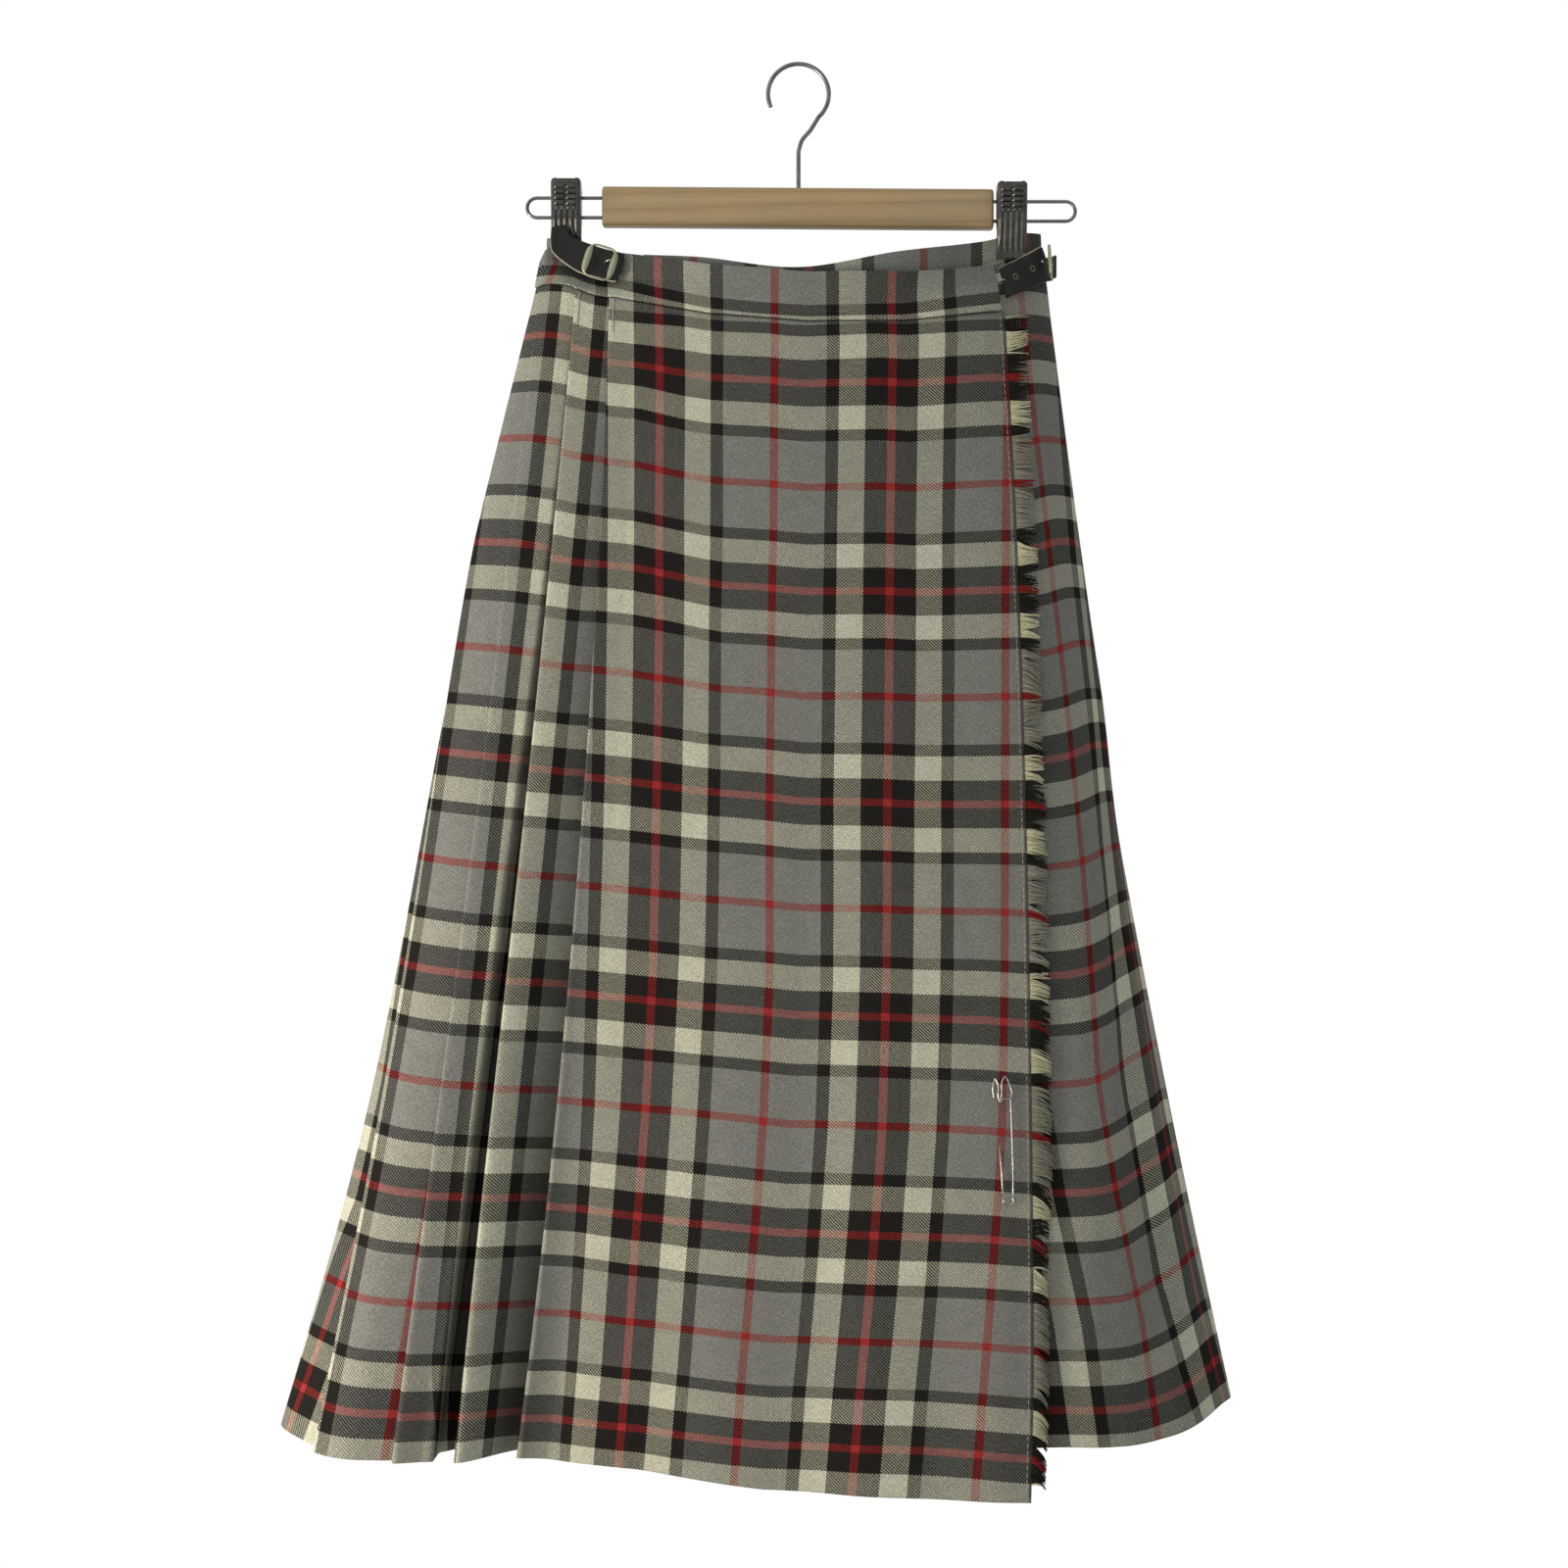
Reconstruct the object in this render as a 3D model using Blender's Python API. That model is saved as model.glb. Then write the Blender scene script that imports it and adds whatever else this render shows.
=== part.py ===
"""A woman's kilted wrap skirt of wool tartan, clipped by its waistband to a wooden hanger.

Sizes in this file are millimetres; the meshes are written in metres, +Z up.  The skirt's front faces -Y and
its left side, as a viewer sees it, is -X.  The origin is the inside top of the hanger's hook, where a rail
holds it.

The skirt is one spiral of cloth.  In plan it follows a closed line, the ring, which changes from a flattened
lens at the waist to a wide oval at the hem.  A place on the cloth is given by three numbers:
    height  0 at the waist seam, 1 at the hem, -1 at the top of the waistband
    s       distance along the ring, from the centre front to the left, round the back and on to the right
    lift    distance outside the ring, which is the middle of the innermost wall
"""
import bpy
import bmesh
import numpy as np
from math import cos, pi, radians, sin

MM = 0.001

# ---------------------------------------------------------------- driving sizes
CLOTH = 1.1                 # the wool cloth's wall
BAND_CLOTH = 2.4            # the waistband, which is folded cloth over a stiffener
BAND_HEIGHT = 35.0
LEATHER = 2.2               # the straps
TAB_LEATHER = 1.6           # the buckles' tabs
GAP = 0.3                   # between pieces that touch

PLEATS = 17                 # knife pleats from the apron's left fold round the back to the right side
UNDERFOLD = 0.5             # how far a pleat's cloth turns under its neighbour, as a share of its face
LAYER_WAIST = 1.6           # from one layer of a pleat to the next
LAYER_HEM = 4.5
HEIGHTS = (0.0, 0.08, 0.2, 0.38, 0.58, 0.79, 1.0)    # the skirt's rows of points
BAND_HEIGHTS = (-1.0, -0.47, -0.02)
PINCHED = 0.47              # the clips press the waistband flat down to this share of it below its top
SWAY = 0.022                # the left side swells below the waist and draws in above the hem

WIRE_RADIUS = 1.4           # the hanger's end loops
HOOK_RADIUS = 1.6           # the hook's wire
HOOK_BEND = 22.0            # from the hook's centre to the middle of its wire
BAR = {"left": -142.0, "right": 141.0, "top_left": -88.0, "top_right": -90.0, "height": 31.0, "depth": 14.0}

# The ring's stations.  x and y are given at the waistband's top, the seam, half-way and the hem, then the
# height of the waist seam and of the hem.
RING = [
    # station            top          seam          middle        hem          z seam  z hem
    ("front centre",     (0, -36),    (0, -36),     (-8, -60),    (-22, -90),  -188,   -978),
    ("front left",       (-70, -32),  (-70, -32),   (-85, -57),   (-110, -82), -180,   -981),
    ("under the fold",   (-122, -15), (-122, -26),  (-148, -51),  (-186, -70), -174,   -984),
    ("left side front",  (-152, -2.2), (-150, -20),  (-200, -47),  (-252, -86), -167,   -986),
    ("left clip front",  (-169, -1),  (-170, -15),  (-238, -36),  (-319, -76),  -162,   -984),
    ("left edge",        (-182, 0),   (-187, 0),    (-268, -4),   (-354, -27),  -161,   -986),
    ("left clip back",   (-169, 1),   (-170, 16),   (-256, 28),   (-346, 42),   -162,   -988),
    ("left side back",   (-152, 2.2), (-150, 22),   (-218, 54),   (-290, 92),  -166,   -990),
    ("back left",        (-85, 30),   (-85, 32),    (-125, 70),   (-190, 116), -182,   -998),
    ("back centre",      (0, 34),     (0, 36),      (-12, 74),    (-22, 122),  -184,   -998),
    ("back right",       (80, 28),    (82, 30),     (115, 68),    (150, 114),  -170,   -986),
    ("right side back",  (138, 3),    (140, 22),    (196, 60),    (246, 98),    -161,   -975),
    ("right clip back",  (155, 1.6),  (159, 15),    (222, 42),    (291, 54),    -158,   -970),
    ("right edge",       (173, 0),    (176, 0),     (232, 18),    (308, -14),   -157,   -967),
    ("right clip front", (155, -1.6), (159, -14),   (219, -24),   (295, -52),   -157,   -968),
    ("right side front", (138, -3),   (140, -20),   (193, -52),   (250, -84),  -162,   -972),
    ("front right",      (70, -32),   (70, -32),    (100, -62),   (168, -102), -176,   -974),
]
STEPS = 24                  # points worked out between two stations

# Chalk marks: s of each visible fold at the seam, half-way and the hem.  The front apron's fringed edge is
# to the right of the centre front, so its s is negative.
MARKS = {
    "fringed edge": (-147, -165, -179),
    "apron fold": (137, 148, 176),
    "fold 1": (162, 192, 224),
    "fold 2": (189, 223, 262),
    "fold 3": (214, 264, 316),
}
UNDER_FOLD_BACK = (12, 24, 84)      # the under apron's own fold lies this far behind the ring's right edge
BOX_PLEAT = (12, 18, 26)            # open floor between that fold and the last knife pleat
UNDER_END = 10                      # the under apron's inner end stops this short of the first pleat

# The front apron hangs lower than the layers behind it: share of its width from the left fold, z of its seam
# and z of its hem.
APRON_FALL = [
    (0.00, -173, -986),
    (0.25, -186, -992),
    (0.50, -192, -1003),
    (0.75, -191, -1006),
    (1.00, -182, -1008),
]

FRINGE_REACH = 16.0         # the under apron lies close behind the front one until past the fringe's tips
FRINGE = {"strands": 200, "strip": 2.6, "length": 12.0, "root": 2.6, "tip": 0.9, "wander": 2.2, "droop": 2.0}

# Where the left strap's edges run, over the waistband and up before the clip.
LEFT_STRAP = [
    # x low   y low   z low    x up     y up    z up
    (-131.0, -23.3, -161.5, -124.5, -22.5, -140.5),
    (-137.2, -21.4, -159.8, -130.5, -20.6, -138.8),
    (-146.5, -18.9, -156.8, -139.5, -18.4, -136.2),
    (-156.8, -17.2, -153.4, -148.4, -16.8, -133.0),
    (-168.8, -16.2, -145.7, -158.3, -16.0, -128.8),
    (-177.0, -15.9, -137.9, -165.3, -15.9, -123.6),
    (-178.0, -15.9, -120.4, -167.4, -15.9, -118.7),
]
# The right strap lies on the cloth round the right edge: share of its length, z low, z up, lift.
RIGHT_STRAP = [
    (0.00, -172.5, -149.0, 4.0),
    (0.35, -166.5, -144.5, 5.8),
    (0.70, -161.0, -140.3, 7.0),
    (1.00, -157.0, -134.6, 6.8),
]
LEFT_BUCKLE = (-142.0, -25.8, -147.4)
RIGHT_BUCKLE = (183.2, -5.0, -143.7)
RIGHT_TAB = [(187.0, 5.6), (185.5, 11.0), (181.0, 16.5)]    # x and y, from the buckle back
KILT_PIN = {"x": 140.5, "top": -722.0, "bottom": -805.0, "width": 9.0, "wire": 1.1, "leg_end": -762.0}
CLIP = {"width": 19.8, "wall": 1.5}
CLIP_LEVELS = [
    # z       open by  cheek y  bent
    (-83.0,   10.0,    11.5,    0.6),
    (-92.5,   10.4,    2.3,     1.0),
    (-114.0,  8.6,     2.3,     1.0),
    (-125.0,  5.0,     7.0,     0.7),
    (-132.0,  1.6,     0.0,     0.0),
    (-141.0,  0.0,     0.0,     0.0),
]


# ---------------------------------------------------------------- the ring and places on it
def blend(seam, middle, hem, height):
    """The curve through three values given at heights 0, a half and 1."""
    return (seam * (1 - height) * (1 - 2 * height) + middle * 4 * height * (1 - height)
            + hem * height * (2 * height - 1))


def smooth_loop(points):
    """A closed curve through the stations: each span is a cubic whose end slopes weigh the two chords that
    meet there by the square roots of their lengths, so that it neither loops nor overshoots."""
    following = np.roll(points, -1, axis=0)
    before = np.roll(points, 1, axis=0)
    knot = np.sqrt(np.linalg.norm((following - points)[:, :2], axis=1))[:, None]
    knot_before = np.roll(knot, 1, axis=0)
    slope = ((points - before) / knot_before * knot + (following - points) / knot * knot_before) / (knot + knot_before)
    share = np.linspace(0, 1, STEPS, endpoint=False)[None, :, None]
    start, end = points[:, None, :], following[:, None, :]
    slope_start, slope_end = (slope * knot)[:, None, :], (np.roll(slope, -1, axis=0) * knot)[:, None, :]
    curve = (start * (2 * share**3 - 3 * share**2 + 1) + slope_start * (share**3 - 2 * share**2 + share)
             + end * (3 * share**2 - 2 * share**3) + slope_end * (share**3 - share**2))
    curve = curve.reshape(-1, points.shape[1])
    return np.vstack([curve, curve[:1]])


class Ring:
    """The closed plan line at one height."""

    def __init__(self, height):
        top, seam, middle, hem = (np.array([row[column] for row in RING], float) for column in (1, 2, 3, 4))
        z_seam, z_hem = (np.array([row[column] for row in RING], float) for column in (5, 6))
        if height >= 0:
            plan = blend(seam, middle, hem, height)
            plan[:, 0] *= np.where(plan[:, 0] < 0, 1 + SWAY * sin(2 * pi * height), 1)
            z = z_seam + (z_hem - z_seam) * height
        else:
            plan = seam + (top - seam) * min(-height / PINCHED, 1.0)
            z = z_seam - BAND_HEIGHT * height
        self.line = smooth_loop(np.column_stack([plan, z]))
        steps = np.diff(self.line[:, :2], axis=0)
        self.s = np.concatenate([[0], np.cumsum(np.linalg.norm(steps, axis=1))])
        self.length = self.s[-1]
        along = np.gradient(self.line[:, :2], self.s, axis=0)
        along[0] = along[-1] = self.line[1, :2] - self.line[-2, :2]
        along /= np.linalg.norm(along, axis=1)[:, None]
        self.outward = np.column_stack([-along[:, 1], along[:, 0]])

    def station(self, name):
        """s of a named station."""
        return self.s[[row[0] for row in RING].index(name) * STEPS]

    def thread(self, s):
        """The thread that crosses the ring at s: the same count runs down the cloth through every height."""
        turns = np.floor(np.asarray(s, float) / self.length)
        return np.interp(np.asarray(s) - turns * self.length, self.s, np.arange(len(self.s))) + turns * (len(self.s) - 1)

    def at_thread(self, thread):
        turns = np.floor(np.asarray(thread) / (len(self.s) - 1))
        return np.interp(thread - turns * (len(self.s) - 1), np.arange(len(self.s)), self.s) + turns * self.length

    def place(self, s, lift):
        """Points at distances s and lifts; s runs on past the centre front in both directions."""
        around = np.mod(s, self.length)
        x, y, z = (np.interp(around, self.s, self.line[:, axis]) for axis in range(3))
        out_x, out_y = (np.interp(around, self.s, self.outward[:, axis]) for axis in range(2))
        size = np.hypot(out_x, out_y)
        return np.stack([x + lift * out_x / size, y + lift * out_y / size, z], axis=-1)


def layer(height):
    """The distance between two layers of a pleat."""
    return LAYER_WAIST + (LAYER_HEM - LAYER_WAIST) * max(height, 0.0)


def mark(name, height):
    return blend(*MARKS[name], max(height, 0.0))


def under_fold(ring, height):
    """s of the under apron's own fold, behind the ring's right edge."""
    return ring.station("right edge") - blend(*UNDER_FOLD_BACK, max(height, 0.0))


def fold_line(ring, height, turn):
    """s at a count of pleats: 0 is the apron's fold, PLEATS the last ridge; fractions lie between."""
    visible = [mark(name, height) for name in ("apron fold", "fold 1", "fold 2", "fold 3")]
    last = under_fold(ring, height) - blend(*BOX_PLEAT, max(height, 0.0))
    hidden = np.linspace(visible[-1], last, PLEATS - 2)[1:]
    ridges = np.concatenate([[2 * visible[0] - visible[1]], visible, hidden])
    return np.interp(turn, np.arange(-1, PLEATS + 1), ridges)


def at_z(thread, z, lift):
    """The place a lift outside the ring where a thread passes a height in millimetres."""
    seam, hem = Ring(0.0), Ring(1.0)
    z_seam, z_hem = seam.place(seam.at_thread(thread), 0.0)[2], hem.place(hem.at_thread(thread), 0.0)[2]
    height = (z_seam - z) / (z_seam - z_hem) if z < z_seam else max((z_seam - z) / BAND_HEIGHT, -1.0)
    ring = Ring(height)
    point = ring.place(ring.at_thread(thread), lift)
    return np.array([point[0], point[1], z])


def apron_fall(height, s):
    """z on the front apron, from its share of the way between its fold and its fringed edge."""
    share, z_seam, z_hem = np.array(APRON_FALL, float).T
    left, right = mark("apron fold", height), mark("fringed edge", height)
    across = (left - s) / (left - right)
    seam, hem = np.interp(across, share, z_seam), np.interp(across, share, z_hem)
    return seam + (hem - seam) * height if height >= 0 else seam - BAND_HEIGHT * height


def apron_place(ring, height, s, lift):
    """Points on the front apron.  It hangs lower than the layers behind it, so each point lies outside the
    ring of its own z; left of its fold the cloth passes smoothly to the heights of the pleats."""
    points = ring.place(s, lift)
    for point, along, out in zip(points, s, lift):
        past = min(max((along - mark("apron fold", height)) / 30.0, 0.0), 1.0)
        z = point[2] * past + apron_fall(height, along) * (1 - past)
        point[:] = at_z(ring.thread(along), z, out)
    return points


def front_y(x, z, lift):
    """y of the place a lift outside the ring, in front, at an x and a z."""
    row = np.array([at_z(thread, z, lift) for thread in np.linspace(-4.6 * STEPS, 4.6 * STEPS, 60)])
    return float(np.interp(-x, -row[:, 0], row[:, 1]))


# ---------------------------------------------------------------- meshes
def clear_scene():
    for item in list(bpy.data.objects):
        bpy.data.objects.remove(item, do_unlink=True)


def material(name, colour, roughness, metallic=0.0):
    made = bpy.data.materials.new(name)
    made.use_nodes = True
    shader = made.node_tree.nodes["Principled BSDF"]
    shader.inputs["Base Color"].default_value = (*colour, 1.0)
    shader.inputs["Roughness"].default_value = roughness
    shader.inputs["Metallic"].default_value = metallic
    return made


def add_object(name, points, faces, finish):
    """One closed body from points in millimetres, its faces turned to point out."""
    mesh = bpy.data.meshes.new(name)
    mesh.from_pydata((np.asarray(points, float).reshape(-1, 3) * MM).tolist(), [], faces)
    work = bmesh.new()
    work.from_mesh(mesh)
    bmesh.ops.triangulate(work, faces=work.faces[:])
    if work.calc_volume(signed=True) < 0:
        bmesh.ops.reverse_faces(work, faces=work.faces[:])
    work.to_mesh(mesh)
    work.free()
    mesh.materials.append(finish)
    made = bpy.data.objects.new(name, mesh)
    bpy.context.scene.collection.objects.link(made)
    return made


def grid_faces(path, first=0, flip=False):
    """Two triangles a cell, split along the path's shorter diagonal, so that layers side by side are split
    alike and stay apart."""
    rows, columns, _ = path.shape
    faces = []
    for row in range(rows - 1):
        for column in range(columns - 1):
            a = first + row * columns + column
            b, c, d = a + 1, a + columns + 1, a + columns
            falling = np.linalg.norm(path[row, column] - path[row + 1, column + 1])
            rising = np.linalg.norm(path[row + 1, column] - path[row, column + 1])
            pair = [(a, b, c), (a, c, d)] if falling < rising else [(a, b, d), (b, c, d)]
            faces += [face[::-1] if flip else face for face in pair]
    return faces


def wall(name, path, thickness, finish):
    """A wall of even thickness round a grid of points (rows down, columns along), offset in plan with
    mitred corners, and closed at its four edges."""
    rows, columns, _ = path.shape
    steps = np.diff(path[:, :, :2], axis=1)
    steps /= np.linalg.norm(steps, axis=2)[:, :, None]
    side = np.stack([-steps[:, :, 1], steps[:, :, 0]], axis=-1)
    side = np.concatenate([side[:, :1], side, side[:, -1:]], axis=1)
    mitre = side[:, :-1] + side[:, 1:]
    mitre *= 2 / np.sum(mitre**2, axis=2)[:, :, None]
    offset = np.zeros_like(path)
    offset[:, :, :2] = mitre * thickness / 2
    points = np.concatenate([(path + offset).reshape(-1, 3), (path - offset).reshape(-1, 3)])
    count = rows * columns
    faces = grid_faces(path) + grid_faces(path, first=count, flip=True)
    border = ([(0, c) for c in range(columns)] + [(r, columns - 1) for r in range(1, rows)]
              + [(rows - 1, c) for c in range(columns - 2, -1, -1)] + [(r, 0) for r in range(rows - 2, 0, -1)])
    rim = [row * columns + column for row, column in border]
    for here, there in zip(rim, rim[1:] + rim[:1]):
        faces.append((there, here, here + count, there + count))
    return add_object(name, points, faces, finish)


def tube(name, points, radius, finish, closed=False, sides=1):
    """A round wire through points in millimetres."""
    curve = bpy.data.curves.new(name, "CURVE")
    curve.dimensions = "3D"
    curve.bevel_depth = radius * MM
    curve.bevel_resolution = sides
    curve.use_fill_caps = True
    spline = curve.splines.new("POLY")
    spline.points.add(len(points) - 1)
    for spot, point in zip(spline.points, np.asarray(points, float) * MM):
        spot.co = (*point, 1.0)
    spline.use_cyclic_u = closed
    curve.materials.append(finish)
    made = bpy.data.objects.new(name, curve)
    bpy.context.scene.collection.objects.link(made)
    return made


def arc(centre, radius, start, end, count):
    """Points on a circle that stands in the X-Z plane, from one angle to another in degrees."""
    angles = np.radians(np.linspace(start, end, count))
    return [(centre[0] + radius * cos(a), centre[1], centre[2] + radius * sin(a)) for a in angles]


def bevel(piece, width, segments=2):
    cut = piece.modifiers.new("softened corners", "BEVEL")
    cut.width = width * MM
    cut.segments = segments
    cut.limit_method = "ANGLE"


# ---------------------------------------------------------------- the cloth
def pleat_section(ring, height, number):
    """One knife pleat as (s, lift): from its hidden start, up its face to the ridge, round it, back under,
    and round the turn to the next pleat's start.  Faces, underfolds and starts share the same stations, so
    the layers stay parallel where the ring is tight."""
    gap = layer(height)
    rise = gap / UNDERFOLD * (1 + UNDERFOLD)
    face = number + np.linspace(-1 - UNDERFOLD, 0, 7)
    under = number + np.linspace(0, -UNDERFOLD, 3)
    face_lift = rise * np.linspace(0, 1, 7)
    under_lift = np.interp(under, face, face_lift) - gap
    ridge_s, ridge_lift = fold_line(ring, height, number), rise - gap / 2
    turn_s, turn_lift = fold_line(ring, height, number - UNDERFOLD), gap / 2
    round_ridge = [(ridge_s + gap / 2 * cos(a), ridge_lift + gap / 2 * sin(a)) for a in (pi / 6, -pi / 6)]
    return np.array(
        list(zip(fold_line(ring, height, face), face_lift)) + round_ridge
        + list(zip(fold_line(ring, height, under), under_lift)) + [(turn_s - gap / 2, turn_lift)])


def pleats(name, first, last, finish):
    """A stretch of knife pleats; its last underfold ends without the turn, so it clears the next stretch."""
    rows = []
    for height in HEIGHTS:
        ring = Ring(height)
        section = np.concatenate([pleat_section(ring, height, number) for number in range(first, last + 1)])
        s, lift = section[:-1].T
        rows.append(apron_place(ring, height, s, lift) if first == 1 else ring.place(s, lift))
    return wall(name, np.array(rows), CLOTH, finish)


def apron_lift(ring, height, s):
    """The front apron lies two layers out, and rises over the first pleat to its own fold."""
    gap = layer(height)
    turns = np.interp(s, fold_line(ring, height, np.array([-UNDERFOLD, 0])), [0, 1])
    return 2 * gap + gap * turns


def front_apron(finish):
    """From the fringed edge to the left fold, round it and under."""
    rows = []
    for height in HEIGHTS:
        ring, gap = Ring(height), layer(height)
        fold = mark("apron fold", height)
        start = fold_line(ring, height, -UNDERFOLD)
        across = np.concatenate([np.linspace(mark("fringed edge", height), start, 18), [(start + fold) / 2, fold]])
        lift = apron_lift(ring, height, across)
        round_fold = [(fold + gap / 2 * cos(a), 2.5 * gap + gap / 2 * sin(a)) for a in (pi / 6, -pi / 6)]
        under = [(fold, 2 * gap), ((start + fold) / 2, 1.5 * gap), (start + 1, gap)]
        section = np.array(list(zip(across, lift)) + round_fold + under)
        rows.append(apron_place(ring, height, *section.T))
    return wall("front_apron", np.array(rows), CLOTH, finish)


def under_apron(finish):
    """The floor of the box pleat, the turn under, back to the right-hand fold, then the face: round the
    right edge and on behind the front apron to its inner end."""
    rows = []
    for height in HEIGHTS:
        ring, gap = Ring(height), layer(height)
        fold = under_fold(ring, height)
        floor_start = fold_line(ring, height, PLEATS - UNDERFOLD)
        depth = 0.5 * (fold_line(ring, height, PLEATS) - fold_line(ring, height, PLEATS - 1))
        turn = fold + depth
        end = ring.length + fold_line(ring, height, -UNDERFOLD) - UNDER_END
        level = ring.length + mark("fringed edge", height) - FRINGE_REACH
        floor = [(s, 0.0) for s in np.linspace(floor_start + 1, turn, 5)]
        under = [(turn + gap / 2, gap / 2), (turn, gap), (turn - depth / 2, 1.5 * gap), (fold, 2 * gap)]
        round_fold = [(fold - gap / 2 * cos(a), 2.5 * gap + gap / 2 * sin(a)) for a in (-pi / 6, pi / 6)]
        shares = np.concatenate([np.linspace(0, 0.2, 9)[1:], np.linspace(0.2, 1, 15)[1:]])
        face = np.concatenate([[fold, fold + depth / 2, turn], turn + (end - turn) * shares])
        lift = np.interp(face, [fold, turn, level], [3 * gap, 2 * gap, 0.0])
        section = np.array(floor + under + round_fold + list(zip(face, lift)))
        rows.append(ring.place(*section.T))
    return wall("under_apron", np.array(rows), CLOTH, finish)


def band_lift(ring, height, s, under):
    """The waistband lies on the pleats' tops at its foot and nearer the ring at its top, where the clips
    press it.  In front the over part lies outside the under part."""
    foot = -height
    snug = 3.0 - 1.5 * foot
    across = np.asarray(s, float)
    if under:
        edge, level = ring.station("right edge"), ring.length + mark("fringed edge", 0.0) + 2
        return np.interp(across, [edge, level], [snug, 0.0])
    fold, fringed = mark("apron fold", 0.0), mark("fringed edge", 0.0)
    return np.interp(across, [fringed, fringed + 50, fold - 20, fold + 25], [6.6, 4.2, 3.8, snug])


def band_stretch(name, start, end, under, finish):
    """One stretch of the waistband between two s of the seam ring, with close columns round the edges."""
    first, last = Ring(0.0).thread([start, end])
    threads = np.linspace(first, last, int((last - first) * 3 / STEPS) + 2)
    rows = []
    for height in BAND_HEIGHTS:
        ring = Ring(height)
        s = ring.at_thread(threads)
        lift = band_lift(ring, height, s, under)
        rows.append(apron_place(ring, height, s, lift) if name == "waistband_front" else ring.place(s, lift))
    return wall(name, np.array(rows), BAND_CLOTH, finish)


def waistband(finish):
    """Three stretches: over the front apron and round the left edge, across the back, and from the right
    edge in behind the front apron."""
    seam = Ring(0.0)
    left_join = mark("fold 3", 0.0) + 12
    right_join = under_fold(seam, 0.0) - 20
    inner_end = seam.length + fold_line(seam, 0.0, -UNDERFOLD) - UNDER_END
    band_stretch("waistband_front", mark("fringed edge", 0.0) + 3, left_join - GAP / 2, False, finish)
    band_stretch("waistband_back", left_join + GAP / 2, right_join - GAP / 2, False, finish)
    band_stretch("waistband_under", right_join + GAP / 2, inner_end, True, finish)


def fringe(finish):
    """The apron's frayed edge: a narrow strip parted from the cloth, with tapered strands fused to it.  Each
    strand grows from its own face on the strip's outer edge, and the faces between them stay closed."""
    sizes = FRINGE
    strands = sizes["strands"]
    pitch = 1.0 / strands
    rng = np.random.default_rng(7)
    lengths = sizes["length"] * (1 + rng.uniform(-0.16, 0.10, strands))
    wander = rng.uniform(-1, 1, strands) * sizes["wander"]
    droop = sizes["droop"] * np.linspace(0.3, 2.4, strands)
    drop = APRON_FALL[-1][1] - APRON_FALL[-1][2]
    half_root = sizes["root"] / drop / 2
    knots = np.sort(np.concatenate([(np.arange(strands) + 0.5) * pitch - half_root,
                                    (np.arange(strands) + 0.5) * pitch + half_root]))
    heights = np.concatenate([[0.0], knots, [1.0]])

    rings = {}
    for height in HEIGHTS:
        rings[height] = Ring(height)

    def edge_points(out):
        """The edge's line, a distance out from the cloth: worked out at the cloth's own rows and joined
        straight between them, so it runs level with the wall."""
        rows = []
        for height in HEIGHTS:
            ring = rings[height]
            s = np.array([mark("fringed edge", height) - GAP - out])
            rows.append(apron_place(ring, height, s, apron_lift(ring, height, s))[0])
        rows = np.array(rows)
        return np.stack([np.interp(heights, HEIGHTS, rows[:, axis]) for axis in range(3)], axis=-1)

    inner, outer, tips = edge_points(0.0), edge_points(sizes["strip"]), edge_points(sizes["strip"] + 1.0)
    across = np.array([0.0, -CLOTH / 2, 0.0])
    count = len(heights)
    points = [*(inner + across), *(inner - across), *(outer + across), *(outer - across)]
    front_in, back_in, front_out, back_out = 0, count, 2 * count, 3 * count
    faces = [(front_in + count - 1, back_in + count - 1, back_out + count - 1, front_out + count - 1),
             (front_in, front_out, back_out, back_in)]
    for k in range(count - 1):
        faces.append((front_in + k, front_in + k + 1, front_out + k + 1, front_out + k))
        faces.append((back_out + k, back_out + k + 1, back_in + k + 1, back_in + k))
        faces.append((back_in + k, back_in + k + 1, front_in + k + 1, front_in + k))
        if k % 2 == 0:
            faces.append((front_out + k, front_out + k + 1, back_out + k + 1, back_out + k))
    for strand in range(strands):
        k = 1 + 2 * strand
        reach = tips[k] - outer[k]
        middle = (outer[k] + outer[k + 1]) / 2 + reach * lengths[strand]
        middle = middle + np.array([0.0, wander[strand] * 0.4, wander[strand] - droop[strand]])
        half_tip = np.array([0.0, 0.0, sizes["tip"] / 2])
        upper, lower = len(points), len(points) + 1
        points += [middle + half_tip, middle - half_tip]
        a, b, c, d = front_out + k, front_out + k + 1, back_out + k + 1, back_out + k
        faces += [(a, b, lower, upper), (d, upper, lower, c), (a, upper, d), (b, c, lower)]
    return add_object("apron_fringe", points, faces, finish)


# ---------------------------------------------------------------- leather, buckles and pin
def left_strap(finish):
    """Lies over the front of the waistband; its free end stands up before the clip."""
    low, up = np.array(LEFT_STRAP)[:, :3], np.array(LEFT_STRAP)[:, 3:]
    return wall("strap_left", np.array([up, (low + up) / 2, low]), LEATHER, finish)


def right_strap_place(share, up, extra=0.0):
    """A point on the right strap: share of its length, 0 to 1 up its width, and further out."""
    shares, z_low, z_up, lifts = np.array(RIGHT_STRAP).T
    seam = Ring(0.0)
    s = seam.length + mark("fringed edge", 0.0) - 3.0
    s += (seam.station("right edge") + 1 - s) * share
    z = np.interp(share, shares, z_low) * (1 - up) + np.interp(share, shares, z_up) * up
    return at_z(seam.thread(s), z, np.interp(share, shares, lifts) + extra)


def right_strap(finish):
    rows = [[right_strap_place(share, up) for share in np.linspace(0, 0.98, 8)] for up in (1.0, 0.5, 0.0)]
    return wall("strap_right", np.array(rows), LEATHER, finish)


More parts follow.
